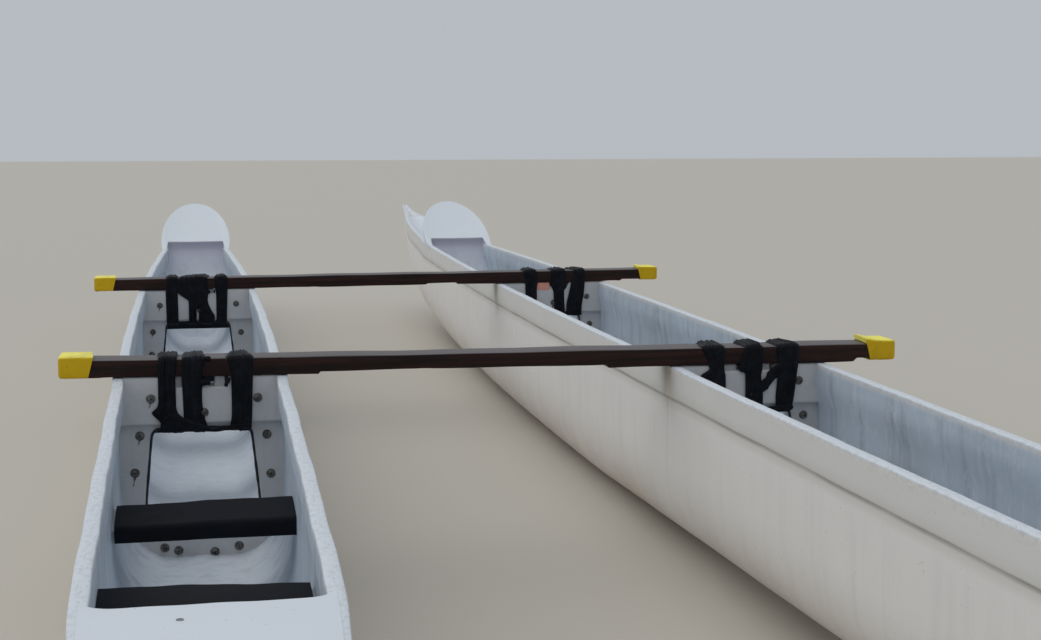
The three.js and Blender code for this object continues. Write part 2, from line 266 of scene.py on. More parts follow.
def make_mesh(name, shape, smooth_angle=38):
    """One mesh of a shape's points and faces, welded, turned outwards and smooth shaded."""
    points = np.concatenate(shape.points)
    faces = np.concatenate(shape.faces)
    mesh = bpy.data.meshes.new(name)
    mesh.vertices.add(len(points))
    mesh.vertices.foreach_set("co", points.astype(np.float32).ravel())
    mesh.loops.add(faces.size)
    mesh.loops.foreach_set("vertex_index", faces.astype(np.int32).ravel())
    mesh.polygons.add(len(faces))
    mesh.polygons.foreach_set("loop_start", np.arange(0, faces.size, 4, dtype=np.int32))
    for key in sorted({key for values in shape.values for key in values}):
        numbers = [v.get(key, np.zeros(len(p))) for v, p in zip(shape.values, shape.points)]
        layer = mesh.attributes.new(key, "FLOAT", "POINT")
        layer.data.foreach_set("value", np.concatenate(numbers).astype(np.float32))
    mesh.update(calc_edges=True)
    mesh.validate(verbose=False)
    work = bmesh.new()
    work.from_mesh(mesh)
    bmesh.ops.remove_doubles(work, verts=work.verts, dist=WELD)
    bmesh.ops.dissolve_degenerate(work, edges=work.edges, dist=WELD)
    bmesh.ops.recalc_face_normals(work, faces=work.faces)
    work.to_mesh(mesh)
    work.free()
    mesh.shade_smooth()
    mesh.set_sharp_from_angle(angle=math.radians(smooth_angle))
    return mesh


def make_piece(name, shape, material, replaces=(), place=(0, 0, 0), smooth_angle=38):
    """A shape as an object at the origin, its place in its mesh, riding on the one body."""
    shape.points = [points + np.asarray(place, float) for points in shape.points]
    mesh = make_mesh(name, shape, smooth_angle)
    mesh.materials.append(material)
    piece = bpy.data.objects.new(name, mesh)
    bpy.context.scene.collection.objects.link(piece)
    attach(piece, "root")
    if replaces:
        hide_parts(*replaces)
    print(name, len(mesh.polygons), "faces")
    return piece


def hull_place(side):
    """Where a hull's own measures start: its middle, under the rear beam, at the gunwale."""
    return (HULL_X[side], DATUM_Y, GUNWALE_Z)


print("one weld distance for all grids:", WELD, "m")


# %% [markdown]
# ## Materials in general
#
# A finish could be painted as a picture and wrapped round its piece. Here each is a principled
# shader with its colour, roughness and bump built from noise in the object's own coordinates,
# which is sharp from any distance and needs no unwrapping. A few short methods keep a recipe
# readable: they make a node, feed its sockets with numbers or with other nodes' results, and
# hand back the result.

# %% Colours
def rgb(red, green, blue):
    """A screen colour, 0 to 255, as the linear numbers that a shader takes."""
    share = np.array([red, green, blue]) / 255
    linear = np.where(share <= 0.04045, share / 12.92, ((share + 0.055) / 1.055) ** 2.4)
    return (*linear.tolist(), 1.0)


print("a middle grey of 128 is", round(rgb(128, 128, 128)[0], 3), "in a shader")


# %% Finishes
class Finish:
    """A material under construction. An input is a number or another node's result."""

    def __init__(self, name, **constants):
        self.material = bpy.data.materials.new(name)
        self.material.use_nodes = True
        self.tree = self.material.node_tree
        self.tree.nodes.clear()
        output = self.tree.nodes.new("ShaderNodeOutputMaterial")
        self.shader = self.tree.nodes.new("ShaderNodeBsdfPrincipled")
        self.tree.links.new(self.shader.outputs[0], output.inputs["Surface"])
        for socket, value in constants.items():
            self.shader.inputs[socket.replace("_", " ")].default_value = value
        self.place = self.node("ShaderNodeTexCoord").outputs["Object"]

    def node(self, kind, inputs=None, **settings):
        """A node with its settings, its sockets fed by name or number."""
        made = self.tree.nodes.new(kind)
        for key, value in settings.items():
            setattr(made, key, value)
        for socket, value in (inputs or {}).items():
            if isinstance(value, bpy.types.NodeSocket):
                self.tree.links.new(value, made.inputs[socket])
            else:
                made.inputs[socket].default_value = value
        return made

    def scaled(self, x, y, z):
        """The object's own coordinates, multiplied along each axis."""
        return self.node("ShaderNodeMapping", {"Vector": self.place, "Scale": (x, y, z)}).outputs[0]

    def noise(self, scale, detail=3.0, roughness=0.55, stretch=(1, 1, 1), distortion=0.0):
        """Clouds of numbers from 0 to 1, drawn out along an axis whose stretch is small."""
        settings = {
            "Vector": self.scaled(*stretch), "Scale": scale, "Detail": detail,
            "Roughness": roughness, "Distortion": distortion,
        }
        return self.node("ShaderNodeTexNoise", settings).outputs["Fac"]

    def value(self, name):
        """A number that the points of the mesh carry."""
        return self.node("ShaderNodeAttribute", attribute_name=name).outputs["Fac"]

    def axis(self, letter):
        """One of the object's own coordinates."""
        return self.node("ShaderNodeSeparateXYZ", {"Vector": self.place}).outputs[letter]

    def math(self, operation, a, b=0.0):
        """Two inputs joined by one operation."""
        return self.node("ShaderNodeMath", {0: a, 1: b}, operation=operation).outputs[0]

    def times(self, product, *others):
        """The product of all its inputs."""
        for other in others:
            product = self.math("MULTIPLY", product, other)
        return product

    def band(self, value, low, high, to_low=0.0, to_high=1.0):
        """A soft step from to_low, where the value is low, to to_high, where it is high."""
        settings = {
            "Value": value, "From Min": low, "From Max": high,
            "To Min": to_low, "To Max": to_high,
        }
        return self.node("ShaderNodeMapRange", settings, interpolation_type="SMOOTHSTEP").outputs[0]

    def near(self, value, middle, reach):
        """One at the middle, zero at the reach on both sides."""
        return self.band(self.math("ABSOLUTE", self.math("SUBTRACT", value, middle)), reach, 0.0)

    def mix(self, share, a, b):
        """A colour between two colours. The mix node has them in its sockets 6 and 7."""
        return self.node("ShaderNodeMix", {0: share, 6: a, 7: b}, data_type="RGBA").outputs[2]

    def colour(self, value):
        """The result as the shader's colour."""
        self.tree.links.new(value, self.shader.inputs["Base Color"])

    def roughness(self, value):
        """The result as the shader's roughness."""
        self.tree.links.new(value, self.shader.inputs["Roughness"])

    def bump(self, height, distance, strength=1.0, under=None):
        """Relief as deep as the distance, on top of an earlier bump where one is given."""
        settings = {"Height": height, "Distance": distance, "Strength": strength}
        if under is not None:
            settings["Normal"] = under
        made = self.node("ShaderNodeBump", settings).outputs[0]
        self.tree.links.new(made, self.shader.inputs["Normal"])
        return made

    def done(self):
        """The finished material."""
        print("finish", self.material.name, "of", len(self.tree.nodes), "nodes")
        return self.material


# %% [markdown]
# ## The gelcoat
#
# The hulls are old gelcoat: warm off-white outside, bluish white inside, with rain streaks that
# run straight down, faint scuffs, dirt and painted shade under the strake's lap, and grime
# towards the keel.
# Streaks could be drawn one by one. Noise that is stretched along Z gives as many as are wanted
# and never repeats. The points carry how far they lie below the gunwale and whether they face
# the inside, so one finish can serve the whole shell.

# %% Gelcoat colours
OUTSIDE_WHITE = rgb(235, 233, 231)
STRAKE_WHITE = rgb(222, 221, 219)
INSIDE_WHITE = rgb(196, 208, 219)
FLOOR_WHITE = rgb(240, 245, 251)
RIM_WHITE = rgb(220, 226, 233)
SCUFF_GREY = rgb(148, 149, 152)
STREAK_GREY = rgb(150, 158, 168)
BLOTCH_WHITE = rgb(226, 230, 235)
# dirt down the joints, and dirt with painted shade along the lap
SEAM_DIRT_AND_SHADE = rgb(112, 102, 84)
JOINT_STAIN = rgb(178, 164, 138)
KEEL_GRIME = rgb(164, 144, 114)
SPECK = rgb(96, 92, 88)
# painted shade under the splash boards' lips and high on the bow decks' panels
STEP_SHADE = rgb(168, 167, 184)
print("the outside's white is", [round(part, 3) for part in OUTSIDE_WHITE[:3]])


# %% Gelcoat layers
def white_base(paint, drop, inside):
    """Bluish inside and paler on the sole, warm outside, greyer on the strake, pale on the rim."""
    within = paint.mix(paint.band(drop, 0.42, 0.54), INSIDE_WHITE, FLOOR_WHITE)
    without = paint.mix(paint.band(drop, 0.106, 0.098), OUTSIDE_WHITE, STRAKE_WHITE)
    base = paint.mix(paint.band(inside, 0.1, 0.9), without, within)
    base = paint.mix(paint.band(drop, 0.009, 0.003), base, RIM_WHITE)
    scuffs = paint.noise(90, 3, 0.7, stretch=(1.0, 0.5, 1.0))
    worn = paint.times(paint.band(scuffs, 0.46, 0.64, 0.02, 0.24), paint.value("rim"))
    return paint.mix(worn, base, SCUFF_GREY)


def inside_wear(paint, base, drop, inside, streaks, cloud):
    """Streaks down the walls, pale blotches, and a grey mottle."""
    walls = paint.times(inside, paint.band(drop, 0.58, 0.46, 0.3, 1.0))
    streaked = paint.times(paint.band(streaks, 0.46, 0.74, 0, 0.62), walls)
    base = paint.mix(streaked, base, STREAK_GREY)
    blotch = paint.noise(26, 4, 0.7, stretch=(1.0, 1.0, 0.5))
    blotched = paint.times(paint.band(blotch, 0.52, 0.66, 0, 0.5), inside)
    base = paint.mix(blotched, base, BLOTCH_WHITE)
    return paint.mix(paint.times(paint.band(cloud, 0.38, 0.72, 0, 0.22), walls), base, STREAK_GREY)


def outside_wear(paint, base, drop, outside, streaks, cloud):
    """Faint streaks, grime towards the keel, dirt and painted shade at the lap, dirt under it."""
    faint = paint.times(paint.band(streaks, 0.45, 0.8, 0, 0.13), outside, paint.band(drop, 0.1, 0.2))
    base = paint.mix(faint, base, STREAK_GREY)
    low = paint.times(paint.band(drop, 0.30, 0.64, 0, 0.52), outside)
    base = paint.mix(paint.times(low, paint.band(cloud, 0.3, 0.7, 0.4, 1.0)), base, KEEL_GRIME)
    # dirt and painted shade along the strake's lap
    lap = paint.times(paint.near(drop, 0.1045, 0.011), outside)
    patchy = paint.band(paint.noise(3, 2), 0.3, 0.6, 0.28, 0.5)
    base = paint.mix(paint.times(lap, patchy), base, SEAM_DIRT_AND_SHADE)
    return paint.mix(paint.times(paint.near(drop, 0.115, 0.03), outside, 0.16), base, SEAM_DIRT_AND_SHADE)


def joint_wear(paint, base, drop, outside, streaks, joint):
    """A thin dark line down a bolted joint, and a brown smear on the strake beside it."""
    along = paint.axis("Y")
    line = paint.times(
        outside, paint.band(drop, 0.104, 0.112), paint.band(drop, 0.40, 0.16),
        paint.near(along, joint, 0.004), 0.34,
    )
    base = paint.mix(line, base, SEAM_DIRT_AND_SHADE)
    smear = paint.times(
        paint.near(along, joint - 0.02, 0.105), outside, paint.band(drop, 0.0, 0.02),
        paint.band(drop, 0.20, 0.02), paint.band(streaks, 0.3, 0.6, 0.4, 1.0), 0.6,
    )
    return paint.mix(smear, base, JOINT_STAIN)


# %% Gelcoat
def make_gelcoat():
    """The layers of wear and painted shade over the white, one after another."""
    paint = Finish("gelcoat", IOR=1.45)
    drop = paint.value("drop")
    inside = paint.value("inside")
    outside = paint.math("SUBTRACT", 1.0, inside)
    cloud = paint.noise(1.6, 4, 0.6)
    streaks = paint.noise(16, 4, 0.65, stretch=(1.0, 1.0, 0.07))
    base = white_base(paint, drop, inside)
    base = inside_wear(paint, base, drop, inside, streaks, cloud)
    base = outside_wear(paint, base, drop, outside, streaks, cloud)
    base = paint.mix(paint.band(paint.noise(95, 2, 0.5), 0.73, 0.78, 0, 0.5), base, SPECK)
    for joint in BEAM_PLACES.values():
        base = joint_wear(paint, base, drop, outside, streaks, DATUM_Y + joint)
    # painted shade where the points carry it: the splash boards' walls and the bow panels' tops
    paint.colour(paint.mix(paint.value("shade"), base, STEP_SHADE))
    paint.roughness(paint.band(paint.noise(6, 4), 0.3, 0.75, 0.38, 0.6))
    fine = paint.bump(paint.noise(70, 3), 0.0008, 0.6)
    paint.bump(paint.noise(3.2, 2), 0.004, 0.5, under=fine)
    return paint.done()


gelcoat = make_gelcoat()

# %% [markdown]
# ## The hulls
#
# A hull is moulded in three sections that are bolted together under the beams. A cage of a few
# faces could be subdivided into it, but a boat builder draws a table of cross-sections, and each
# can be checked on its own. A row holds a breadth, the gunwale's and the keel's height, and two
# powers that make the side boxy or V-shaped. A smooth curve through each column gives as many
# sections between as are wanted, and the whole shell is two sheets of points, outer and inner.

# %% Station table
STATIONS = np.array([
    # y, half breadth, gunwale height, keel height, and the powers drop and curve
    (-4.550, 0.004, 0.084, 0.040, 1.5, 1.4),
    (-4.490, 0.022, 0.078, -0.090, 1.6, 1.5),
    (-4.320, 0.060, 0.062, -0.230, 1.8, 1.6),
    (-4.000, 0.108, 0.038, -0.360, 2.2, 1.8),
    (-3.500, 0.160, 0.014, -0.460, 2.8, 2.0),
    (-2.900, 0.202, 0.000, -0.520, 3.6, 2.1),
    (-2.400, 0.226, 0.000, -0.550, 4.2, 2.2),
    (-1.500, 0.243, 0.000, -0.582, 4.8, 2.2),
    (0.000, 0.265, 0.000, -0.618, 5.0, 2.2),
    (0.800, 0.273, 0.000, -0.640, 5.0, 2.2),
    (1.500, 0.278, 0.000, -0.655, 5.0, 2.2),
    (2.200, 0.280, 0.000, -0.655, 5.0, 2.2),
    (3.060, 0.277, 0.000, -0.655, 4.8, 2.2),
    (3.700, 0.270, 0.000, -0.654, 4.5, 2.2),
    (4.500, 0.254, 0.000, -0.648, 4.0, 2.1),
    (5.300, 0.233, 0.000, -0.638, 3.4, 2.0),
    (6.160, 0.207, 0.000, -0.620, 2.8, 1.9),
    (6.700, 0.186, 0.024, -0.592, 2.4, 1.8),
    (7.300, 0.156, 0.042, -0.536, 2.1, 1.7),
    (7.900, 0.114, 0.066, -0.430, 1.9, 1.6),
    (8.350, 0.068, 0.088, -0.315, 1.8, 1.5),
    (8.650, 0.035, 0.112, -0.195, 1.7, 1.5),
    (8.850, 0.024, 0.140, -0.070, 1.6, 1.4),
    (8.920, 0.018, 0.148, 0.010, 1.6, 1.4),
    (8.950, 0.009, 0.138, 0.060, 1.5, 1.4),
])

print(len(STATIONS), "stations, widest", 2 * STATIONS[:, 1].max(), "m")


def through(places, rows, at):
    """Cubic pieces through the rows. The slope at a row is the weighted harmonic mean of the
    slopes on its two sides, or none where they differ in sign, so that flat runs stay flat."""
    step = np.diff(places)[:, None]
    slope = np.diff(rows, axis=0) / step
    weight_a = 2 * step[1:] + step[:-1]
    weight_b = step[1:] + 2 * step[:-1]
    turns = slope[:-1] * slope[1:] <= 0
    safe = np.where(turns, 1.0, slope[:-1])
    safe_next = np.where(turns, 1.0, slope[1:])
    mean = (weight_a + weight_b) / (weight_a / safe + weight_b / safe_next)
    tangent = np.vstack([slope[:1], np.where(turns, 0.0, mean), slope[-1:]])
    i = np.clip(np.searchsorted(places, at, side="right") - 1, 0, len(places) - 2)
    t = ((at - places[i]) / step[i, 0])[:, None]
    return (
        rows[i] * (1 + 2 * t) * (1 - t) ** 2
        + tangent[i] * step[i] * t * (1 - t) ** 2
        + rows[i + 1] * t * t * (3 - 2 * t)
        + tangent[i + 1] * step[i] * t * t * (t - 1)
    )


def section_values(y):
    """Half breadth, gunwale height, keel height and the side's two powers at the places y."""
    y = np.atleast_1d(np.asarray(y, float))
    return through(STATIONS[:, 0], STATIONS[:, 1:], y.ravel()).T.reshape(5, *y.shape)


# %% The width inside
RIM_WIDTH = 0.033
RIM_DEPTH = 0.070
WALL = 0.016
WALL_START = 0.160
BOTTOM_THICKNESS = 0.048
# the half breadth below which the wall is thicker, and by how much
NARROW = 0.15
NARROW_WALL = 0.010


def inside_half(y, z):
    """Half the width inside a hull. Above the rim's foot it is the rim's face, then a slope out
    to the wall. Below that, x/wall to the power curve plus the share of the depth to the power
    drop is one."""
    breadth, sheer, keel, drop, curve = section_values(y)
    rim = breadth - RIM_WIDTH
    wall = np.maximum(breadth - WALL - np.where(breadth < NARROW, NARROW_WALL, 0), rim)
    top = sheer - WALL_START
    share = np.clip((top - z) / (top - keel - BOTTOM_THICKNESS), 0, 1)
    curved = wall * (1 - share**drop) ** (1 / curve)
    slope = np.clip((sheer - RIM_DEPTH - z) / (WALL_START - RIM_DEPTH), 0, 1)
    return np.where(z < top, curved, rim + (wall - rim) * slope)


print("half width inside at the rear beam", inside_half(0.0, np.array([-0.01, -0.3])).round(3))

# %% The outside of a section
ARC = np.linspace(0, np.pi / 2, 6)[None, 1:]
CURVE_POWER = 2.2
RIM_ROUND = 0.005
STRAKE_DEPTH = 0.100
STRAKE_PROUD = 0.006
# the strake's greatest share of the hull's height, which counts at the tips
STRAKE_SHARE = 0.4
LAP_ROUND = 0.06


def rim_sizes(breadth):
    """The rim's width and the radius of its edges, both less at the tips."""
    return np.minimum(RIM_WIDTH, breadth * 0.6), np.minimum(RIM_ROUND, breadth * 0.3)


def mirrored(x, z):
    """A right half from rim to keel, followed by its mirror image from keel to rim."""
    both = np.stack([x, z], -1)
    return np.concatenate([both, both[:, -2::-1] * (-1, 1)], axis=1)


def outer_outline(breadth, sheer, keel, drop, curve):
    """From the middle of the rim over its round edge, down the strake, in at the lap and down
    the side's curve to the keel."""
    strake = np.minimum(STRAKE_DEPTH, (sheer - keel) * STRAKE_SHARE)
    rim, rounding = rim_sizes(breadth)
    rounding = np.minimum(rounding, strake * 0.3)
    side = np.maximum(breadth - STRAKE_PROUD, breadth * 0.7)
    lap = sheer - strake
    lip = LAP_ROUND * strake
    flank = np.linspace(0.0, 1.0, 4)[None, 1:]
    share = 1 - (1 - np.linspace(0, 1, 31)[None, 1:]) ** CURVE_POWER
    x = np.concatenate([
        breadth - rim * np.array([[0.5, 0.4]]),
        breadth - rounding + rounding * np.sin(ARC),
        breadth + 0 * flank,
        breadth - lip * 0.35,
        side - 0.0006 + 0 * lip,
        side + 0 * lip,
        side * (1 - share**drop) ** (1 / curve),
    ], axis=1)
    z = np.concatenate([
        sheer + np.zeros((1, 2)),
        sheer - rounding + rounding * np.cos(ARC),
        sheer - rounding - (strake - rounding - lip) * flank,
        lap + lip * 0.15,
        lap + 0 * lip,
        lap - lip,
        lap - lip + (keel - lap + lip) * share,
    ], axis=1)
    return x, z


# %% The inside of a section
RIM_ROUGHNESS = 0.0005
SOLE_RISE = 0.017
SOLE_EDGE = 0.006
KEEL_RIDGE = 0.004


def inner_outline(y, breadth, sheer, keel):
    """From the middle of the rim over its inner edge, down its face, out to the wall and down
    to the sole. The sole is flat: the soft maximum of the wall's curve and one height, half of
    the difference plus the root of its square and a softness squared."""
    rim, rounding = rim_sizes(breadth)
    rim = rim + RIM_ROUGHNESS * (np.sin(31 * y) + 0.7 * np.sin(47 * y + 2))
    face = np.array([[0.35, 0.7, 1.0]])
    slope = np.linspace(0, 1, 5)[None, 1:]
    share = 1 - (1 - np.linspace(0, 1, 30)[None, 1:]) ** CURVE_POWER
    top = sheer - WALL_START
    floor = keel + BOTTOM_THICKNESS
    z = np.concatenate([
        sheer + np.zeros((1, 2)),
        sheer - rounding + rounding * np.cos(ARC),
        sheer - rounding - (RIM_DEPTH - rounding) * face,
        sheer - RIM_DEPTH - (WALL_START - RIM_DEPTH) * slope,
        top + (floor - top) * share,
    ], axis=1)
    lower = inside_half(np.broadcast_to(y, z.shape), z)
    fade = smoothstep(-RIM_DEPTH, -RIM_ROUND, z - sheer)[:, 7:]
    x = np.concatenate([
        breadth - rim * np.array([[0.5, 0.6]]),
        breadth - rim + rounding - rounding * np.sin(ARC),
        lower[:, 7:] + (breadth - rim - lower[:, 7:]) * fade,
    ], axis=1)
    ridge = KEEL_RIDGE * np.exp(-((x / 0.028) ** 4)) * smoothstep(0.02, 0.0, z - floor)
    sole = floor + SOLE_RISE * smoothstep(0.05, 0.16, breadth)
    above = z - sole
    return x, sole + (above + np.sqrt(above**2 + SOLE_EDGE**2)) / 2 + ridge


# %% The swell under the beams
SWELL_GAP = 0.0022
SWELL_REACH = 0.20
SWELL_FLAT = 0.055


def beam_swell(side, x, y, below):
    """How far the gunwale rises to meet the beams: the gap under the beam, over a short length,
    faded out down the rim's depth."""
    rise = 0 * x
    for end, middle in BEAM_PLACES.items():
        gap = beam_underside(side, end, x) - SWELL_GAP
        rise = rise + np.maximum(gap, 0) * smoothstep(SWELL_REACH, SWELL_FLAT, np.abs(y - middle))
    return rise * smoothstep(0.075, 0.008, below)


# %% A stretch of hull
WELL_BACK = -4.150
WELL_FRONT = 8.330
END_STEPS = np.array([0.004, 0.02, 0.05])
RIM_WAVE = 0.0011
JOINT_PINCH = 0.0014
BOW_DECK_DIP = 0.20
DIP_START, DIP_FULL = 6.0, 6.6


def bow_dip(y, breadth, share):
    """How far the bow deck lies below the gunwales, at a share of the way out to a rim."""
    return BOW_DECK_DIP * breadth * smoothstep(DIP_START, DIP_FULL, y) * (1 - share**2)


def section_places(y0, y1, spacing):
    """Places of the sections, closer together at both ends, and whether each is in the well. A
    section stands twice where the well stops, once inside it and once outside."""
    y = np.linspace(y0, y1, max(3, round((y1 - y0) / spacing)))
    stops = [stop for stop in (WELL_BACK, WELL_FRONT) if y0 < stop < y1]
    y = np.sort(np.concatenate([y, y0 + END_STEPS, y1 - END_STEPS, stops, stops]))
    well = (y > WELL_BACK) & (y < WELL_FRONT)
    doubled = np.flatnonzero(np.diff(y) == 0)
    well[doubled] = y[doubled] > 0
    well[doubled + 1] = y[doubled] < 0
    return y[:, None], well[:, None]


def hull_section(side, y0, y1, spacing, joint_start, joint_end):
    """Outer and inner sheets of a stretch of hull. Beyond the well the inner sheet is the solid
    end's top. The outer drops are stretched where the strake narrows towards a tip, so that the
    lap's dirt and painted shade follow it."""
    y, well = section_places(y0, y1, spacing)
    breadth, sheer, keel, drop, curve = section_values(y)
    wave = RIM_WAVE * (np.sin(7.3 * y) + 0.6 * np.sin(17 * y + 1))
    pinch = np.zeros_like(y)
    pinch[0] = JOINT_PINCH * joint_start
    pinch[-1] = JOINT_PINCH * joint_end
    breadth = breadth + wave * smoothstep(0.05, 0.2, breadth) - pinch
    keel = keel + pinch
    outer_x, outer_z = outer_outline(breadth, sheer, keel, drop, curve)
    inner_x, inner_z = inner_outline(y, breadth, sheer, keel)
    top_x = outer_x[:, :1] * np.linspace(1, 0, inner_x.shape[1])[None]
    across = np.clip(top_x / np.maximum(breadth - rim_sizes(breadth)[0], 1e-4), 0, 1)
    top_z = sheer - bow_dip(y, breadth, across)
    outer = mirrored(outer_x, outer_z)
    inner = mirrored(np.where(well, inner_x, top_x), np.where(well, inner_z, top_z))
    drops = np.stack([sheer - outer[..., 1], sheer - inner[..., 1]])
    stretch = np.maximum(1, STRAKE_DEPTH / STRAKE_SHARE / (sheer - keel))
    inside = smoothstep(0.004, 0.03, drops[1]) * well
    values = {
        "drop": np.stack([drops[0] * stretch, drops[1]]),
        "inside": np.stack([0 * inside, inside]),
        "rim": smoothstep(0.030, 0.006, drops),
    }
    for outline, below in zip((outer, inner), drops):
        outline[..., 1] += beam_swell(side, outline[..., 0], y, below)
    return standing(outer, y), standing(inner, y), values


# %% Hulls
JOINT_GAP = 0.0002
HULL_PARTS = (
    ("stern", STATIONS[0, 0], -JOINT_GAP, 0.045, False, True),
    ("middle", JOINT_GAP, FRONT_BEAM_Y - JOINT_GAP, 0.06, True, True),
    ("bow", FRONT_BEAM_Y + JOINT_GAP, STATIONS[-1, 0], 0.045, True, False),
)

for side in HULL_X:
    for part, y0, y1, spacing, joint_start, joint_end in HULL_PARTS:
        outer, inner, values = hull_section(side, y0, y1, spacing, joint_start, joint_end)
        shape = Shape()
        shape.add_shell(outer, inner, **values)
        name = f"hull_{side}_{part}"
        make_piece(f"{name}_skin", shape, gelcoat, [name], hull_place(side))

# %% [markdown]
# ## The decks
#
# A short deck closes each end of the cockpit. It could be a flat plate that is trimmed to the
# hull by a boolean, but its edge has to follow the wall all the way down. From the side, a deck
# is one profile: up the panel that shuts off the end, round the lip and away along the top. That
# profile is carried across the hull, and its width is asked of the hull at every height. The
# stern deck's lip curls forward into the gunwales, and the bow deck is hollowed between them.

# %% Across the hull
DECK_STEPS = 61
PANEL_THICKNESS = 0.020
# how far a deck runs past the well's end, and into the wall at both sides
DECK_GRIP = 0.002


def deck_points(profile, overlap):
    """A closed profile of y, z points carried across the hull: x is a share u of half the inside
    width, or of the rim's overlap on top."""
    u = np.sin(np.linspace(-np.pi / 2, np.pi / 2, DECK_STEPS))[:, None]
    y = np.broadcast_to(profile[None, :, 0], (DECK_STEPS, len(profile)))
    z = np.broadcast_to(profile[None, :, 1], (DECK_STEPS, len(profile)))
    breadth, sheer = section_values(y)[:2]
    on_top = z > -0.02
    half = np.where(on_top, breadth - overlap, inside_half(y, z) + DECK_GRIP)
    return u, y, z, breadth, sheer, on_top, u * half


# %% Stern decks
STERN_EDGE = -2.510
STERN_PANEL = -2.640
STERN_THICKNESS = 0.030
STERN_FOOT = -0.500
STERN_OVERLAP = 0.014
STERN_CORNER = 0.045
# how far the deck stands over the gunwales, and how much more in its middle
STERN_PROUD, STERN_CROWN = 0.0007, 0.0015


def stern_deck(side):
    """The lip is a half circle as thick as the deck. Its corners run forward along the rims."""
    lip = np.linspace(-np.pi / 2, np.pi / 2, 13)
    radius = STERN_THICKNESS / 2
    back = WELL_BACK + DECK_GRIP
    top_y = np.linspace(STERN_EDGE - radius, back, 40)
    profile = np.concatenate([
        [(STERN_PANEL - PANEL_THICKNESS, STERN_FOOT), (STERN_PANEL, STERN_FOOT)],
        np.stack([np.full(12, STERN_PANEL), np.linspace(-0.47, -0.06, 12)], -1),
        [(STERN_PANEL + 0.004, -0.040), (STERN_PANEL + 0.016, -STERN_THICKNESS)],
        np.stack([
            STERN_EDGE - radius + radius * np.cos(lip),
            -radius + radius * np.sin(lip),
        ], -1),
        np.stack([top_y, np.zeros(40)], -1),
        [(back, -STERN_THICKNESS), (STERN_PANEL - PANEL_THICKNESS, -STERN_THICKNESS)],
    ])
    u, y, z, _, sheer, on_top, x = deck_points(profile, STERN_OVERLAP)
    corner = STERN_CORNER * np.abs(u) ** 9 * smoothstep(STERN_PANEL, STERN_EDGE - 0.02, y)
    wave = 0.0016 * np.sin(11 * u + 0.6) * smoothstep(STERN_EDGE - 0.06, STERN_EDGE, y)
    crown = STERN_PROUD + STERN_CROWN * (1 - u**2)
    lifted = np.where(on_top, z + sheer + crown * (z > -0.005), z)
    shape = Shape()
    shape.add_rod(
        np.stack([x, y + corner + wave, lifted], -1),
        drop=0 * x, inside=np.where(on_top, 0.0, 1.0),
    )
    name = f"deck_{side}_stern"
    make_piece(f"{name}_lip", shape, gelcoat, [name], hull_place(side))


for side in HULL_X:
    stern_deck(side)

# %% Bow decks
BOW_EDGE = 6.100
BOW_FOOT = 5.730
BOW_DROP = 0.008
BOW_THICKNESS = 0.024
PANEL_TOP_Y = 6.064
PANEL_FOOT = -0.600
PANEL_HEIGHT = 0.692
PANEL_SLOPE = (BOW_EDGE - BOW_FOOT) / PANEL_HEIGHT
# the drop that clean inner faces are given, because the gelcoat is least streaked there
CLEAN_DROP = 0.58


def bow_deck(side):
    """The panel slopes up and forward from the footwell to the deck's edge. The deck behind it
    dips by a share of the breadth, less towards the gunwales."""
    rise = np.linspace(PANEL_FOOT, -0.03, 22)
    panel_y = PANEL_TOP_Y + (rise + BOW_DROP) * PANEL_SLOPE
    front = WELL_FRONT - DECK_GRIP
    top_y = np.linspace(BOW_EDGE + 0.012, front, 60)
    profile = np.concatenate([
        [(panel_y[0] + PANEL_THICKNESS, PANEL_FOOT)],
        np.stack([panel_y, rise], -1),
        [(PANEL_TOP_Y, -0.0105), (PANEL_TOP_Y + 0.02, -0.009)],
        np.stack([top_y, np.full(60, -BOW_DROP)], -1),
        [(front, -BOW_DROP - BOW_THICKNESS), (BOW_EDGE + PANEL_THICKNESS, -0.034)],
    ])
    u, y, z, breadth, sheer, on_top, x = deck_points(profile, RIM_WIDTH - 0.004)
    to_gunwale = np.maximum(np.abs(u) ** 3, smoothstep(7.3, 8.25, y))
    lifted = z + np.where(z > -0.035, sheer - bow_dip(y, breadth, u), 0)
    lifted = lifted + np.where(on_top, BOW_DROP * to_gunwale, 0)
    inside = smoothstep(BOW_EDGE + 0.02, BOW_EDGE - 0.01, y)
    # painted shade on the panel, darkest at its top under the splash board's lip
    shade = 0.6 * smoothstep(-0.30, -0.02, lifted) * inside
    shape = Shape()
    shape.add_rod(
        np.stack([x, y, lifted], -1), drop=CLEAN_DROP * inside, inside=inside, shade=shade,
    )
    name = f"deck_{side}_bow"
    make_piece(f"{name}_plate", shape, gelcoat, [name], hull_place(side))


for side in HULL_X:
    bow_deck(side)

# %% [markdown]
# ## The drain plugs
#
# A small dished plug of dull grey metal sits in each stern deck, a little to port of the middle.
# It could be a cylinder with a bevel. Turned from one profile of heights and radii it has its rim
# and its dish as well, in as few lines.

# %% Drain plugs
PLUG_PLACE = (-0.046, -2.608)
PLUG_PROFILE = np.array([
    # height over the deck and radius
    (-0.0040, 0.0062), (0.0008, 0.0062), (0.0014, 0.0056), (0.0014, 0.0042), (0.0006, 0.0038),
    (0.0006, 0.0016),
])
PLUG_GREY = rgb(154, 160, 166)
PLUG_DARK = rgb(116, 120, 126)


def make_plug_finish():
    """Dull metal in two greys."""
    metal = Finish("plug_metal", Metallic=0.3)
    patch = metal.noise(240, 3)
    metal.colour(metal.mix(metal.band(patch, 0.35, 0.65), PLUG_GREY, PLUG_DARK))
    metal.roughness(metal.band(patch, 0.3, 0.7, 0.4, 0.7))
    return metal.done()


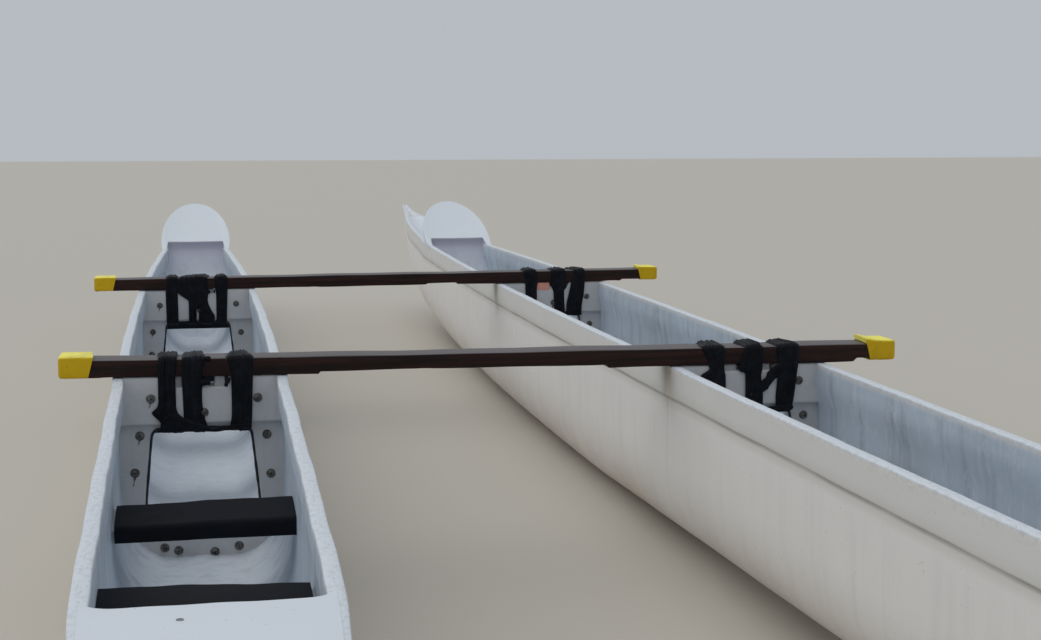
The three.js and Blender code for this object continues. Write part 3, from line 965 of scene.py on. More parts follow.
def drain_plug(side):
    """A low turned disc with a dished middle: a profile of heights and radii carried round."""
    turn = full_turn(40)
    height, radius = PLUG_PROFILE[:, 0, None], PLUG_PROFILE[:, 1, None]
    shape = Shape()
    shape.add_rod(np.stack([
        PLUG_PLACE[0] + radius * np.cos(turn),
        PLUG_PLACE[1] + radius * np.sin(turn),
        STERN_PROUD + STERN_CROWN + height + 0 * turn,
    ], -1))
    make_piece(f"drain_plug_{side}", shape, plug_metal, (), hull_place(side))


plug_metal = make_plug_finish()
for side in HULL_X:
    drain_plug(side)

# %% [markdown]
# ## The splash boards
#
# Ahead of the first seat a tongue-shaped board leans forward over the deck and throws water off.
# Its foot is a short wall between two cheeks that run into the gunwales, and the wall bends to
# meet the deck's sloping panel. A flat tongue could be bent by a modifier, but then the cheeks
# and the wall would be pieces of their own. Here it is a sheet with a thickness: one grid for its
# face, with the wall hanging from its lower edge, and the same grid pushed back along the normals.

# %% Splash boards
BOARD_BASE = 5.972
BOARD_RISE = 0.48
BOARD_HALF = 0.222
BOARD_STRAIGHT = 0.120
BOARD_LENGTH = 0.622
BOARD_THICKNESS = 0.016
CHEEK = 0.032
CHEEK_RUN = 0.10
CHEEK_SOFTNESS = 0.05
STEP_Y = 6.060
STEP_FOOT = -0.095
CHEEK_FOOT = -0.032
COVE = 0.010
BOARD_BEVEL = 0.0035
BEVEL_DEGREES = 50
FACE_COLUMNS, FACE_ROWS, WALL_ROWS = 81, 52, 18


def grid_normals(points):
    """Unit normals of a grid: the cross product of the steps along its two directions."""
    along = np.gradient(points, axis=1)
    up = np.gradient(points, axis=0)
    return unit(np.cross(along, up))


def board_face(u, between):
    """Across, x runs between the outline's edges. Up the slope, s runs from the foot, which is
    further forward between the cheeks, to the top of the half ellipse. The height is a ramp
    that starts softly: half of s plus the root of s squared and a softness squared."""
    cosine = 1 / math.hypot(1, BOARD_RISE)
    start = (STEP_Y - BOARD_BASE) / cosine * between - CHEEK_RUN * (1 - between)
    v = np.linspace(0, 1, FACE_ROWS)[:, None]
    s = start + (BOARD_LENGTH * 0.9999 - start) * np.sin(v * np.pi / 2)
    ramp = (s + np.sqrt(s**2 + CHEEK_SOFTNESS**2)) / 2 * (1 - between) + s * between
    ramp = ramp - (CHEEK_SOFTNESS**2 / 4 / BOARD_LENGTH)
    beyond = np.clip((s - BOARD_STRAIGHT) / (BOARD_LENGTH - BOARD_STRAIGHT), 0, 1)
    base_y = BOARD_BASE + s * cosine
    gunwale = section_values(np.minimum(base_y, BOARD_BASE + 0.05))[0] + 0.0012
    neck = gunwale + (BOARD_HALF - gunwale) * smoothstep(-0.06, 0.08, s)
    x = u * neck * np.sqrt(1 - beyond**2)
    hollow = 0.010 * (1 - (x / BOARD_HALF) ** 2) * smoothstep(0.0, 0.25, s)
    curl = 0.030 * (s / BOARD_LENGTH) ** 2
    ramp = ramp * (between + (1 - between) * smoothstep(-CHEEK_RUN, -0.02, s))
    z = ramp * cosine * BOARD_RISE - hollow + curl * 0.4 + 0.0012
    return np.stack([x, base_y + hollow * 0.4, z], -1)


def board_wall(foot, between, t):
    """The wall that hangs from the face's lower edge. Its place bends softly from upright to the
    panel's slope: half of the way there less the root of its square and a softness squared."""
    wall = np.repeat(foot, WALL_ROWS, axis=0)
    lowest = CHEEK_FOOT + (STEP_FOOT - CHEEK_FOOT) * between
    wall[..., 2] = lowest + (foot[..., 2] - lowest) * t
    proud = 0.0012 - 0.0044 * (1 - t) ** 2
    behind = PANEL_TOP_Y + (wall[..., 2] + BOW_DROP) * PANEL_SLOPE - proud - wall[..., 1]
    wall[..., 1] += (behind - np.sqrt(behind**2 + COVE**2)) / 2 * between
    return wall


def splash_board(side):
    """The face and its wall as one sheet, thickened against its normals. The wall carries the
    inside's paint, with painted shade under the lip."""
    u = np.sin(np.linspace(-np.pi / 2, np.pi / 2, FACE_COLUMNS))[None]
    between = smoothstep(0.006, -0.012, np.abs(BOARD_HALF * u) - (BOARD_HALF - CHEEK))
    face = board_face(u, between)
    t = np.linspace(0, 1, WALL_ROWS + 1)[:-1, None]
    sheet = np.concatenate([board_wall(face[:1], between, t), face])
    normals = grid_normals(sheet)
    facing_up = 1 if normals[-12, FACE_COLUMNS // 2, 2] > 0 else -1
    back = sheet - facing_up * normals * BOARD_THICKNESS
    ring = np.concatenate([sheet, back[:, ::-1]], axis=1)
    # painted shade on the wall, darkest under the lip
    painted_lip_shade = np.zeros(sheet.shape[:2])
    painted_lip_shade[:WALL_ROWS] = (0.6 + 0.4 * smoothstep(0.3, 1.0, t)) * between
    inside = np.zeros(sheet.shape[:2])
    inside[:WALL_ROWS] = between
    shape = Shape()
    shape.add_rod(
        ring,
        shade=np.concatenate([painted_lip_shade, 0 * painted_lip_shade], axis=1),
        inside=np.concatenate([inside, 0 * inside], axis=1),
        drop=np.concatenate([CLEAN_DROP * inside, 0 * inside], axis=1),
    )
    name = f"splash_board_{side}"
    piece = make_piece(f"{name}_tongue", shape, gelcoat, [name], hull_place(side))
    bevel = piece.modifiers.new("round edges", "BEVEL")
    bevel.width = BOARD_BEVEL
    bevel.segments = 3
    bevel.limit_method = "ANGLE"
    bevel.angle_limit = math.radians(BEVEL_DEGREES)


for side in HULL_X:
    splash_board(side)

# %% [markdown]
# ## The bulkheads
#
# Under each beam the hull's sections are bolted together through a grey bulkhead. It is a plate
# with an arched opening for the paddler's legs, and a thick bridge across its top that the
# lashings go under. The opening could be cut by a boolean, which leaves ragged faces where an
# edge should be round. As a ring it has the same number of points along the arch and along the
# hull's wall, and straight lines between them, front and back.

# %% Flange paint
FLANGE_GREY = rgb(207, 206, 206)
FLANGE_SHADE = rgb(164, 161, 162)
SHIM_PINK = rgb(232, 148, 120)
RUST = rgb(92, 62, 44)


def make_flange_paint():
    """Grey with darker runs, rust specks, and one bare pink block."""
    paint = Finish("flange_paint", IOR=1.45)
    cloud = paint.noise(5, 4, 0.6)
    base = paint.mix(paint.band(cloud, 0.35, 0.75, 0, 0.35), FLANGE_GREY, FLANGE_SHADE)
    runs = paint.noise(34, 3, 0.6, stretch=(1, 1, 0.05))
    base = paint.mix(paint.band(runs, 0.56, 0.8, 0, 0.3), base, FLANGE_SHADE)
    specks = paint.noise(120, 2)
    base = paint.mix(paint.band(specks, 0.72, 0.78, 0, 0.5), base, RUST)
    base = paint.mix(paint.times(paint.value("shim"), 0.85), base, SHIM_PINK)
    paint.colour(base)
    paint.roughness(paint.band(cloud, 0.3, 0.7, 0.5, 0.68))
    paint.bump(paint.noise(60, 3), 0.0008, 0.6)
    return paint.done()


flange_paint = make_flange_paint()

# %% The arch
ARCH_TOP = {"rear": -0.147, "front": -0.160}
ARCH_TOP_HALF, ARCH_CORNER = 0.150, 0.030
ARCH_SHOULDER, ARCH_SHOULDER_CORNER = -0.380, 0.050
ARCH_FOOT_HALF, ARCH_FOOT, ARCH_FOOT_CORNER = 0.174, -0.490, 0.040


def fillet(before, corner, after, size, count=9):
    """Points of a quadratic curve that rounds a corner between two other corners."""
    before, corner, after = (np.array(p, float) for p in (before, corner, after))
    start = corner + (before - corner) / np.linalg.norm(before - corner) * size
    end = corner + (after - corner) / np.linalg.norm(after - corner) * size
    t = np.linspace(0, 1, count)[:, None]
    return (1 - t) ** 2 * start + 2 * t * (1 - t) * corner + t**2 * end


def arch_outline(end):
    """The arch, anticlockwise from its top middle, as x, z corners that are rounded in turn."""
    right = [
        (0, ARCH_TOP[end]), (-ARCH_TOP_HALF, ARCH_TOP[end]), (-ARCH_FOOT_HALF, ARCH_SHOULDER),
        (-ARCH_FOOT_HALF, ARCH_FOOT), (0, ARCH_FOOT),
    ]
    sizes = (ARCH_CORNER, ARCH_SHOULDER_CORNER, ARCH_FOOT_CORNER)
    half = [np.array([right[0]])]
    for i, size in enumerate(sizes, start=1):
        half.append(fillet(right[i - 1], right[i], right[i + 1], size))
    half.append(np.array([right[-1]]))
    left = np.concatenate(half)
    return np.concatenate([left, left[-2:0:-1] * (-1, 1)])


print("an arch outline of", len(arch_outline("rear")), "points")

# %% The plate
PLATE_HALF_DEPTH = 0.030
BRIDGE_TOP = -0.016
RING_MIDDLE = -0.320
# how far a part's edge goes into the hull's wall
LET_IN = 0.0015


def wall_outline(y):
    """The hull's inner section at y, closed across at the bridge's top."""
    t = np.linspace(0, np.pi / 2, 60)
    floor = section_values(y)[2] + BOTTOM_THICKNESS
    z = BRIDGE_TOP + (floor - BRIDGE_TOP) * np.sin(t)
    x = inside_half(np.full(60, y), z) + LET_IN
    half = np.stack([-x, z], -1)
    return np.concatenate([half, half[-2::-1] * (-1, 1)])


def at_angles(outline, angles):
    """Where rays from the ring's middle cross a closed outline."""
    middle = np.array((0, RING_MIDDLE))
    dense = np.concatenate([outline, outline[:1]])
    dense = between_points(np.linspace(0, len(outline), 3000), np.arange(len(dense)), dense)
    turn = np.arctan2(dense[:, 1] - middle[1], dense[:, 0] - middle[0])
    reach = np.linalg.norm(dense - middle, axis=1)
    order = np.argsort(turn)
    reach = np.interp(angles, turn[order], reach[order], period=2 * np.pi)
    return middle + reach[:, None] * np.stack([np.cos(angles), np.sin(angles)], -1)


def bulkhead_angles(y):
    """Even angles round the ring, and the exact angles of the wall's two top corners."""
    corner_x = inside_half(y, np.array([BRIDGE_TOP]))[0] + LET_IN
    corner = math.atan2(BRIDGE_TOP - RING_MIDDLE, corner_x)
    return np.sort(np.concatenate([full_turn(220, -np.pi), [corner, np.pi - corner]]))


def add_plate(shape, end, y):
    """From the arch to the wall on the stern side, and back on the bow side. Near the arch the
    plate is a little thinner, which rounds its edge."""
    angles = bulkhead_angles(y)
    arch = at_angles(arch_outline(end), angles)
    wall = at_angles(wall_outline(y), angles)
    share = np.array([0.0, 0.02, 0.06, 0.15, 0.3, 0.5, 0.75, 1.0])
    depth = PLATE_HALF_DEPTH * np.array([0.80, 0.93, 1, 1, 1, 1, 1, 1])
    share = np.concatenate([share, share[::-1]])
    depth = np.concatenate([-depth, depth[::-1]])
    flat = arch[None] + (wall - arch)[None] * share[:, None, None]
    shape.add_ring(standing(flat, (y + depth)[:, None]))


# %% The packing blocks
PACKERS = {
    # middle, width and how far the stern-side face stands off the bulkhead's middle
    "port_rear": ((-0.076, 0.040, 0.040), (0.057, 0.034, 0.040)),
    "port_front": ((-0.076, 0.040, 0.040), (0.061, 0.038, 0.040)),
    "starboard_rear": ((-0.063, 0.056, 0.040), (0.060, 0.034, 0.040)),
    "starboard_front": ((-0.040, 0.068, 0.0565), (0.060, 0.034, 0.040)),
}
# the bulkhead whose first block is a pink shim
SHIM = "starboard_front"
PACKER_FOOT, SHIM_FOOT = -0.022, -0.036
PACKER_BACK = 0.040
PACKER_ROUND = 0.004
# the small gap between a beam and what carries it
BEAM_SEAT = 0.0004


def rounded_box(x0, x1, y0, y1, z0, z1, radius, lengthwise=12):
    """A box along X whose section is a rounded rectangle and whose ends shrink by the radius."""
    turn = full_turn(32, np.pi / 32)
    corner_y = np.where(np.cos(turn) > 0, y1 - radius, y0 + radius)
    corner_z = np.where(np.sin(turn) > 0, z1 - radius, z0 + radius)
    end = np.linspace(0, np.pi / 2, 4)
    grow = np.concatenate([np.sin(end), np.ones(lengthwise), np.sin(end)[::-1]])
    x = np.concatenate([
        x0 + radius * (1 - np.cos(end)), np.linspace(x0 + radius, x1 - radius, lengthwise + 2)[1:-1],
        x1 - radius * (1 - np.cos(end[::-1])),
    ])
    y = corner_y[None] + radius * grow[:, None] * np.cos(turn)[None]
    z = corner_z[None] + radius * grow[:, None] * np.sin(turn)[None]
    return np.stack([np.broadcast_to(x[:, None], y.shape), y, z], -1)


def add_packers(shape, side, end, y):
    """Two blocks that fill the gap between the bridge and the beam, a little narrower on top."""
    for number, (middle, width, depth) in enumerate(PACKERS[f"{side}_{end}"]):
        is_shim = f"{side}_{end}" == SHIM and number == 0
        box = rounded_box(
            middle - width / 2, middle + width / 2, y - depth, y + PACKER_BACK,
            SHIM_FOOT if is_shim else PACKER_FOOT, 0.0, PACKER_ROUND,
        )
        raised = smoothstep(-0.012, -0.006, box[..., 2])
        box[..., 2] += raised * (beam_underside(side, end, box[..., 0]) - BEAM_SEAT)
        box[..., 0] -= 0.1 * (box[..., 0] - middle) * raised
        shape.add_rod(box, shim=np.full(box.shape[:2], float(is_shim)))


# %% Bridges and bulkheads
BRIDGE_HALF_DEPTH = 0.055
BRIDGE_ROUND = 0.008
BRIDGE_CREASE = {"rear": -0.121, "front": -0.140}
BRIDGE_FOOT = {"rear": -0.136, "front": -0.152}
SHOULDER_FOOT, SHOULDER_HEAD = 0.078, 0.096


def add_bridge(shape, side, end, y):
    """The bridge's section is a flat front, a cove back to the plate, and a round top edge. At
    both sides the top rises over a shoulder to meet the beam."""
    crease = BRIDGE_CREASE[end]
    arc = np.linspace(0, np.pi / 2, 5)
    cove = np.linspace(0, np.pi / 2, 9)
    cove_in = BRIDGE_HALF_DEPTH - PLATE_HALF_DEPTH + 0.002
    front = np.concatenate([
        np.stack([
            -BRIDGE_HALF_DEPTH + BRIDGE_ROUND - BRIDGE_ROUND * np.sin(arc),
            BRIDGE_TOP - BRIDGE_ROUND + BRIDGE_ROUND * np.cos(arc),
        ], -1),
        np.stack([np.full(5, -BRIDGE_HALF_DEPTH), np.linspace(-0.03, crease, 5)], -1),
        np.stack([
            -BRIDGE_HALF_DEPTH + cove_in * (1 - np.cos(cove)),
            crease - 0.004 - (crease - 0.004 - BRIDGE_FOOT[end]) * np.sin(cove),
        ], -1),
    ])
    profile = np.concatenate([front, front[::-1] * (-1, 1)])
    shoulder = np.linspace(0.33, 0.46, 12)
    share = np.sort(np.concatenate([np.linspace(-1, 1, 31), shoulder, -shoulder]))[:, None]
    z = np.broadcast_to(profile[None, :, 1], (len(share), len(profile)))
    place = y + np.broadcast_to(profile[None, :, 0], z.shape)
    x = share * (inside_half(place, z) + LET_IN)
    rise = smoothstep(SHOULDER_FOOT, SHOULDER_HEAD, np.abs(x))
    rise = rise * (beam_underside(side, end, x) - BEAM_SEAT - BRIDGE_TOP)
    lifted = z + np.where(z > -0.0295, rise, 0)
    shape.add_rod(np.stack([x, place, lifted], -1))


def bulkhead(side, end, y):
    """The plate, the bridge and the packing blocks as one piece."""
    shape = Shape()
    add_plate(shape, end, y)
    add_bridge(shape, side, end, y)
    add_packers(shape, side, end, y)
    name = f"bulkhead_{side}_{end}"
    make_piece(f"{name}_ring", shape, flange_paint, [name], hull_place(side))


for side in HULL_X:
    for end, y in BEAM_PLACES.items():
        bulkhead(side, end, y)

# %% [markdown]
# ## The arch trim, bolts and rust
#
# A black rubber edging lines each arch. The sections' bolts have large round washers that have
# rusted, with a short brown run below most of them. The runs could be painted on the bulkhead,
# but as thin pieces of their own they start exactly under their washers. A washer and its nut are
# one turned profile, and the nut's six flats come from a radius that depends on the angle.

# %% Rubber and steel
RUBBER_BLACK = rgb(26, 27, 31)
RUBBER_WORN = rgb(44, 46, 52)
STEEL = rgb(134, 133, 130)
STEEL_DARK = rgb(88, 84, 80)
RUN_BROWN = rgb(84, 66, 54)
RUN_PALE = rgb(132, 112, 98)


def make_rubber():
    """Black, worn grey in patches."""
    paint = Finish("edge_rubber", IOR=1.5)
    cloud = paint.noise(30, 3)
    paint.colour(paint.mix(paint.band(cloud, 0.3, 0.7), RUBBER_BLACK, RUBBER_WORN))
    paint.roughness(paint.band(cloud, 0.3, 0.7, 0.5, 0.7))
    paint.bump(paint.noise(200, 2), 0.0005, 0.5)
    return paint.done()


def make_steel():
    """Two greys of dull metal under patches of rust."""
    metal = Finish("rusty_washer", Metallic=0.25)
    patch = metal.noise(60, 4, 0.65)
    base = metal.mix(metal.band(patch, 0.35, 0.6), STEEL, STEEL_DARK)
    base = metal.mix(metal.band(metal.noise(140, 3), 0.54, 0.68, 0, 0.8), base, RUST)
    metal.colour(base)
    metal.roughness(metal.band(patch, 0.3, 0.7, 0.42, 0.75))
    metal.bump(patch, 0.0008, 0.6)
    return metal.done()


def make_rust_run():
    """The brown of a run, paler where the rain has thinned it."""
    stain = Finish("rust_run", IOR=1.4)
    patch = stain.noise(80, 4, 0.7)
    stain.colour(stain.mix(stain.band(patch, 0.35, 0.65), RUN_BROWN, RUN_PALE))
    stain.roughness(stain.band(patch, 0.3, 0.7, 0.6, 0.8))
    return stain.done()


rubber = make_rubber()
steel = make_steel()
rust_run = make_rust_run()

# %% Arch trim
TRIM_RADIUS = 0.0042
TRIM_INSET = 0.003


def add_trim(shape, end, y):
    """A thin round bead that follows the arch, on the side that faces the stern."""
    angles = full_turn(240, -np.pi)
    arch = at_angles(arch_outline(end), angles)
    turn = full_turn(12)
    ripple = 1 + 0.12 * np.sin(9 * angles) + 0.08 * np.sin(23 * angles + 1)
    radius = TRIM_RADIUS * ripple[:, None]
    flat = arch[:, None] + outward_of(arch)[:, None] * (radius * np.cos(turn))[..., None]
    depth = y - PLATE_HALF_DEPTH + TRIM_INSET - radius * 1.2 * np.sin(turn)
    shape.add_ring(standing(flat, depth))


for side in HULL_X:
    for end, y in BEAM_PLACES.items():
        shape = Shape()
        add_trim(shape, end, y)
        make_piece(f"arch_trim_{side}_{end}", shape, rubber, (), hull_place(side))

# %% Bolts
BOLTS = {
    # each bolt's x and height in its bulkhead
    "rear": (
        (-0.151, -0.049), (0.171, -0.055), (0.007, -0.096), (-0.187, -0.167), (0.198, -0.175),
        (-0.205, -0.282), (0.208, -0.299), (-0.121, -0.521), (-0.079, -0.531), (0.031, -0.540),
        (0.106, -0.525),
    ),
    "front": (
        (-0.180, -0.074), (0.184, -0.072), (0.010, -0.100), (-0.217, -0.205), (0.205, -0.215),
        (-0.224, -0.315), (0.222, -0.320), (-0.110, -0.530), (-0.030, -0.545), (0.050, -0.542),
        (0.115, -0.528),
    ),
}
BOLT_PROFILE = np.array([
    # height from the plate, radius, share of hexagon
    (-0.0005, 0.0145, 0), (0.0012, 0.0145, 0), (0.0020, 0.0138, 0), (0.0022, 0.0080, 0),
    (0.0023, 0.0072, 1), (0.0075, 0.0072, 1), (0.0085, 0.0062, 1), (0.0086, 0.0042, 0),
    (0.0120, 0.0041, 0), (0.0130, 0.0032, 0),
])
# rust runs start this far below a bolt's middle, under bolts to port of this x and above this z
RUN_START = 0.011
RUN_PORT_OF, RUN_ABOVE = 0.02, -0.5
RUN_LENGTHS = (0.018, 0.025, 0.032)
RUN_LEAN = -0.006


def add_bolt(shape, x, y, z, facing, turned):
    """A washer, nut and bolt end turned about Y. The nut's radius is its flat's distance over
    the cosine of the angle from the middle of the flat."""
    angle = full_turn(24)
    from_flat = (angle + turned) % (np.pi / 3) - np.pi / 6
    hexagon = 1 / np.cos(from_flat)
    height, radius, share = (BOLT_PROFILE[:, i, None] for i in range(3))
    reach = radius * (1 + share * (hexagon - 1))
    shape.add_rod(np.stack([
        x + reach * np.cos(angle),
        y + facing * height + 0 * angle,
        z + reach * np.sin(angle),
    ], -1))


def add_rust_run(shape, x, y, z, length, lean):
    """A flat tear that starts under a washer, swells and runs out to a point."""
    t = np.linspace(0, 1, 14)[:, None]
    turn = full_turn(10)
    width = 0.0030 * (1 - t) ** 0.7 * (1 + 0.5 * np.sin(9 * t)) + 0.0004
    px = x + lean * t + width * np.cos(turn)
    pz = z - RUN_START - length * t + 0 * turn
    py = y - 0.0004 * (0.5 + 0.5 * np.sin(turn)) + 0 * t
    shape.add_rod(np.stack([px, py, pz], -1))


for side in HULL_X:
    for end, y in BEAM_PLACES.items():
        bolts = Shape()
        runs = Shape()
        for i, (x, z) in enumerate(BOLTS[end]):
            depth = BRIDGE_HALF_DEPTH if z > BRIDGE_CREASE[end] else PLATE_HALF_DEPTH
            add_bolt(bolts, x, y - depth, z, -1, 0.7 * i)
            add_bolt(bolts, x, y + depth, z, 1, 0.4 * i)
            if x < RUN_PORT_OF and z > RUN_ABOVE:
                add_rust_run(runs, x, y - depth, z, RUN_LENGTHS[i % 3], RUN_LEAN)
        make_piece(f"bolts_{side}_{end}", bolts, steel, (), hull_place(side), 30)
        make_piece(f"rust_runs_{side}_{end}", runs, rust_run, (), hull_place(side))

# %% [markdown]
# ## The crossbeams
#
# The beams are dark hardwood planks laid flat, wet with spray: nearly black on their faces, with
# a dull grey along the worn top that is partly wear and partly a painted sheen. A stretched cube
# with a bevel would do, and would look freshly milled. Here the section is a rounded rectangle
# that is carried along, so that slow waves of a fraction of a millimetre, a few nicks, the
# packing boards and the sag can move each place.

# %% Timber
TIMBER_DARK = rgb(30, 20, 19)
TIMBER_RED = rgb(54, 31, 27)
TIMBER_GREY = rgb(110, 105, 106)


def make_timber():
    """Long stretched grain, a grey top, partly wear and partly painted sheen, and dark wet spots."""
    wood = Finish("wet_hardwood", IOR=1.5, Specular_IOR_Level=0.17)
    grain = wood.noise(60, 5, 0.65, stretch=(0.045, 1, 1), distortion=0.4)
    figure = wood.noise(9, 3, 0.6, stretch=(0.12, 1, 1))
    base = wood.mix(wood.band(grain, 0.35, 0.7), TIMBER_DARK, TIMBER_RED)
    # grey along the top: partly wear, partly a painted sheen of the wet wood
    worn = wood.times(wood.value("top"), wood.band(figure, 0.3, 0.65, 0.3, 0.95))
    base = wood.mix(worn, base, TIMBER_GREY)
    base = wood.mix(wood.band(wood.noise(26, 3, 0.7), 0.62, 0.7, 0, 0.5), base, TIMBER_DARK)
    wood.colour(base)
    wood.roughness(wood.band(figure, 0.3, 0.7, 0.32, 0.6))
    wood.bump(grain, 0.0012, 0.7)
    return wood.done()


timber = make_timber()

# %% Beams
BEAM_EDGE = 0.004
NICK_DEPTH = 0.0045
# a different start for the waves of each beam
BEAM_PHASE = {"rear": 1.7, "front": 4.1}


def crossbeam(end):
    """A rounded rectangle carried along X, its faces moved by slow sine waves, its whole length
    tilted as it lies on the hulls. A nick is a narrow bell curve along the lower edge."""
    name = f"crossbeam_{end}"
    low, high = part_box(name)
    phase = BEAM_PHASE[end]
    turn = full_turn(40, np.pi / 40)
    half_y = (high.y - low.y) / 2
    half_z = (high.z - low.z) / 2
    corner_y = np.where(np.cos(turn) > 0, half_y - BEAM_EDGE, BEAM_EDGE - half_y)
    corner_z = np.where(np.sin(turn) > 0, half_z - BEAM_EDGE, BEAM_EDGE - half_z)
    x = np.linspace(low.x, high.x, 460)[:, None]
    s = (x - low.x) / (high.x - low.x)
    wear = 1 + 0.4 * np.sin(31 * s + phase) * np.sin(13 * s)
    y = corner_y + BEAM_EDGE * wear * np.cos(turn)
    z = corner_z + BEAM_EDGE * wear * np.sin(turn)
    nick = NICK_DEPTH * np.exp(-(((s * 61 + phase) % 11 - 5) / 0.4) ** 2)
    nick = nick * (0.5 + 0.5 * np.sin(9 * s)) * smoothstep(-0.6, -0.95, np.sin(turn))
    y = y + 0.0008 * np.sin(9 * s + phase) - 0.0006
    z = z * (1 - 0.008 * (1 + np.sin(17 * s + phase))) + nick
    z = z - packing(end, x) * (np.sin(turn) < 0) + beam_lift(end, x)
    middle = (low + high) / 2
    shape = Shape()
    shape.add_rod(
        np.stack([x + 0 * y, middle.y + y, middle.z + z], -1),
        top=smoothstep(0.4, 0.8, np.sin(turn)) + 0 * s,
    )
    make_piece(f"{name}_plank", shape, timber, [name])


for end in BEAM_PLACES:
    crossbeam(end)

# %% [markdown]
# ## The yellow beam ends
#
# Each beam end wears a yellow sleeve, longer along the top than underneath, soft at its corners
# and a little creased, like tape pulled over a block. The beam's end could be thickened by a
# modifier, but then the mouth would be square and tight all round. It is one thin box instead: a
# rounded rectangle that closes over the end and turns back inside at its slanted, loose mouth.

# %% Cap paint
CAP_YELLOW = rgb(208, 172, 6)
CAP_WORN = rgb(188, 150, 8)
# painted light along the sleeves' tops
CAP_PAINTED_LIGHT = rgb(255, 246, 108)
CAP_SCUFF = rgb(104, 88, 40)


def make_cap_paint():
    """Yellow, with painted light along the top, worn in clouds, with brown scuffs."""
    paint = Finish("yellow_sleeve", IOR=1.5, Specular_IOR_Level=0.25)
    cloud = paint.noise(14, 4, 0.6)
    base = paint.mix(paint.band(cloud, 0.4, 0.75, 0, 0.6), CAP_YELLOW, CAP_WORN)
    # painted light along the top, patchy in the clouds
    pale = paint.times(paint.value("top"), paint.band(cloud, 0.3, 0.6, 0.65, 1.0))
    base = paint.mix(pale, base, CAP_PAINTED_LIGHT)
    base = paint.mix(paint.band(paint.noise(70, 3, 0.7), 0.64, 0.7, 0, 0.6), base, CAP_SCUFF)
    paint.colour(base)
    paint.roughness(paint.band(cloud, 0.3, 0.7, 0.38, 0.6))
    paint.bump(paint.noise(28, 3, 0.6), 0.003, 0.7)
    return paint.done()


cap_paint = make_cap_paint()

# %% Caps
CAP_WALL = 0.0045
CAP_SLANT = 0.017
CAP_BACK_SLANT = 0.011
CAP_ROUND = 0.009
CAP_FIT = 0.0006
# how far the top of a sleeve's mouth stands off its beam
LOOSE_LIPS = {"rear_starboard": 0.007, "front_starboard": 0.003}


def ring_of(low_y, high_y, low_z, high_z, radius, turn):
    """A rounded rectangle's y and z at the angles turn."""
    y = np.where(np.cos(turn) > 0, high_y - radius, low_y + radius) + radius * np.cos(turn)
    z = np.where(np.sin(turn) > 0, high_z - radius, low_z + radius) + radius * np.sin(turn)
    return y, z


def beam_cap(end, side):
    """Rings of a rounded rectangle: over the closed end, along the outside to the slanted mouth,
    and back along the beam. The mouth's place falls off from the top to the bottom and from the
    stern side to the bow side, and a loose lip is lifted by the square of its nearness to it."""
    node = f"cap_{end}_{side}"
    low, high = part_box(node)
    beam_low, beam_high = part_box(f"crossbeam_{end}")
    inward = 1 if side == "port" else -1
    tip = low.x if side == "port" else high.x
    length = high.x - low.x
    middle = np.array([(low.y + high.y) / 2, (low.z + high.z) / 2])
    turn = full_turn(56, np.pi / 56)
    outer = ring_of(low.y, high.y, low.z, high.z, CAP_ROUND, turn)
    inner = ring_of(
        beam_low.y - CAP_FIT, beam_high.y + CAP_FIT,
        beam_low.z - CAP_FIT, beam_high.z + CAP_FIT, BEAM_EDGE, turn,
    )
    outside = np.linspace(CAP_ROUND, length, 26)[1:]
    # each ring's place along, its share of full size, how much its corners pull in, and which
    rings = [(0.0, share, CAP_ROUND, outer) for share in (0.02, 0.5, 1.0)]
    for a in np.linspace(0, np.pi / 2, 6)[1:]:
        rings.append((CAP_ROUND * (1 - math.cos(a)), 1.0, CAP_ROUND * (1 - math.sin(a)), outer))
    rings += [(along, 1.0, 0.0, outer) for along in outside]
    rings += [(along, 1.0, 0.0, inner) for along in outside[::-1]]
    rings += [(CAP_WALL, 0.5, 0.0, inner), (CAP_WALL, 0.02, 0.0, inner)]
    rows = []
    for along, share, pull, (ring_y, ring_z) in rings:
        y = (ring_y - middle[0]) * (1 - pull / (high.y - low.y) * 2) * share
        z = (ring_z - middle[1]) * (1 - pull / (high.z - low.z) * 2) * share
        up = 0.5 + z / (high.z - low.z)
        back = 0.5 + y / (high.y - low.y)
        toward_mouth = smoothstep(0.3, 1.0, along / length)
        slant = (CAP_SLANT * (1 - up) + CAP_BACK_SLANT * back * up) * toward_mouth
        outward = 1.0 if ring_y is outer[0] else 0.0
        dent = 0.0010 * np.sin(55 * along + 3 * turn) + 0.0007 * np.sin(140 * along + 5 * turn)
        lip = LOOSE_LIPS.get(f"{end}_{side}", 0.0) * toward_mouth**2 * smoothstep(0.6, 1.0, up)
        x = tip + inward * (along - slant)
        z = z - outward * np.abs(dent) * share + lip * (outward + 0.8) / 1.8
        rows.append(np.stack([x, middle[0] + y * (1 - 0.006 * outward), middle[1] + z], -1))
    points = np.array(rows)
    points[..., 2] += beam_lift(end, points[..., 0])
    shape = Shape()
    shape.add_rod(points, top=smoothstep(0.55, 0.95, np.sin(turn)) * np.ones((len(points), 1)))
    make_piece(f"{node}_sleeve", shape, cap_paint, [node], smooth_angle=50)


for end in BEAM_PLACES:
    for side in HULL_X:
        beam_cap(end, side)

# %% [markdown]
# ## The lashings
#
# Black webbing goes over each beam and down under the bulkhead's bridge, several turns on top of
# each other, bunched into creases. A cloth simulation could wind it, and would take minutes to
# settle somewhere else each time. The straps are taut and their places are known, so they are
# modelled directly. One turn is a flat closed section carried round a rounded loop, and its two
# edges follow an outline that says where they lie at each height. Each strap is three such
# turns, a band of webbing joins their feet, lumps of it lie on top of the beam, and small folds
# stick out here and there.

# %% Webbing
WEBBING_BLACK = rgb(13, 15, 20)
# painted sheen in clouds over the black
WEBBING_SHEEN = rgb(38, 42, 52)


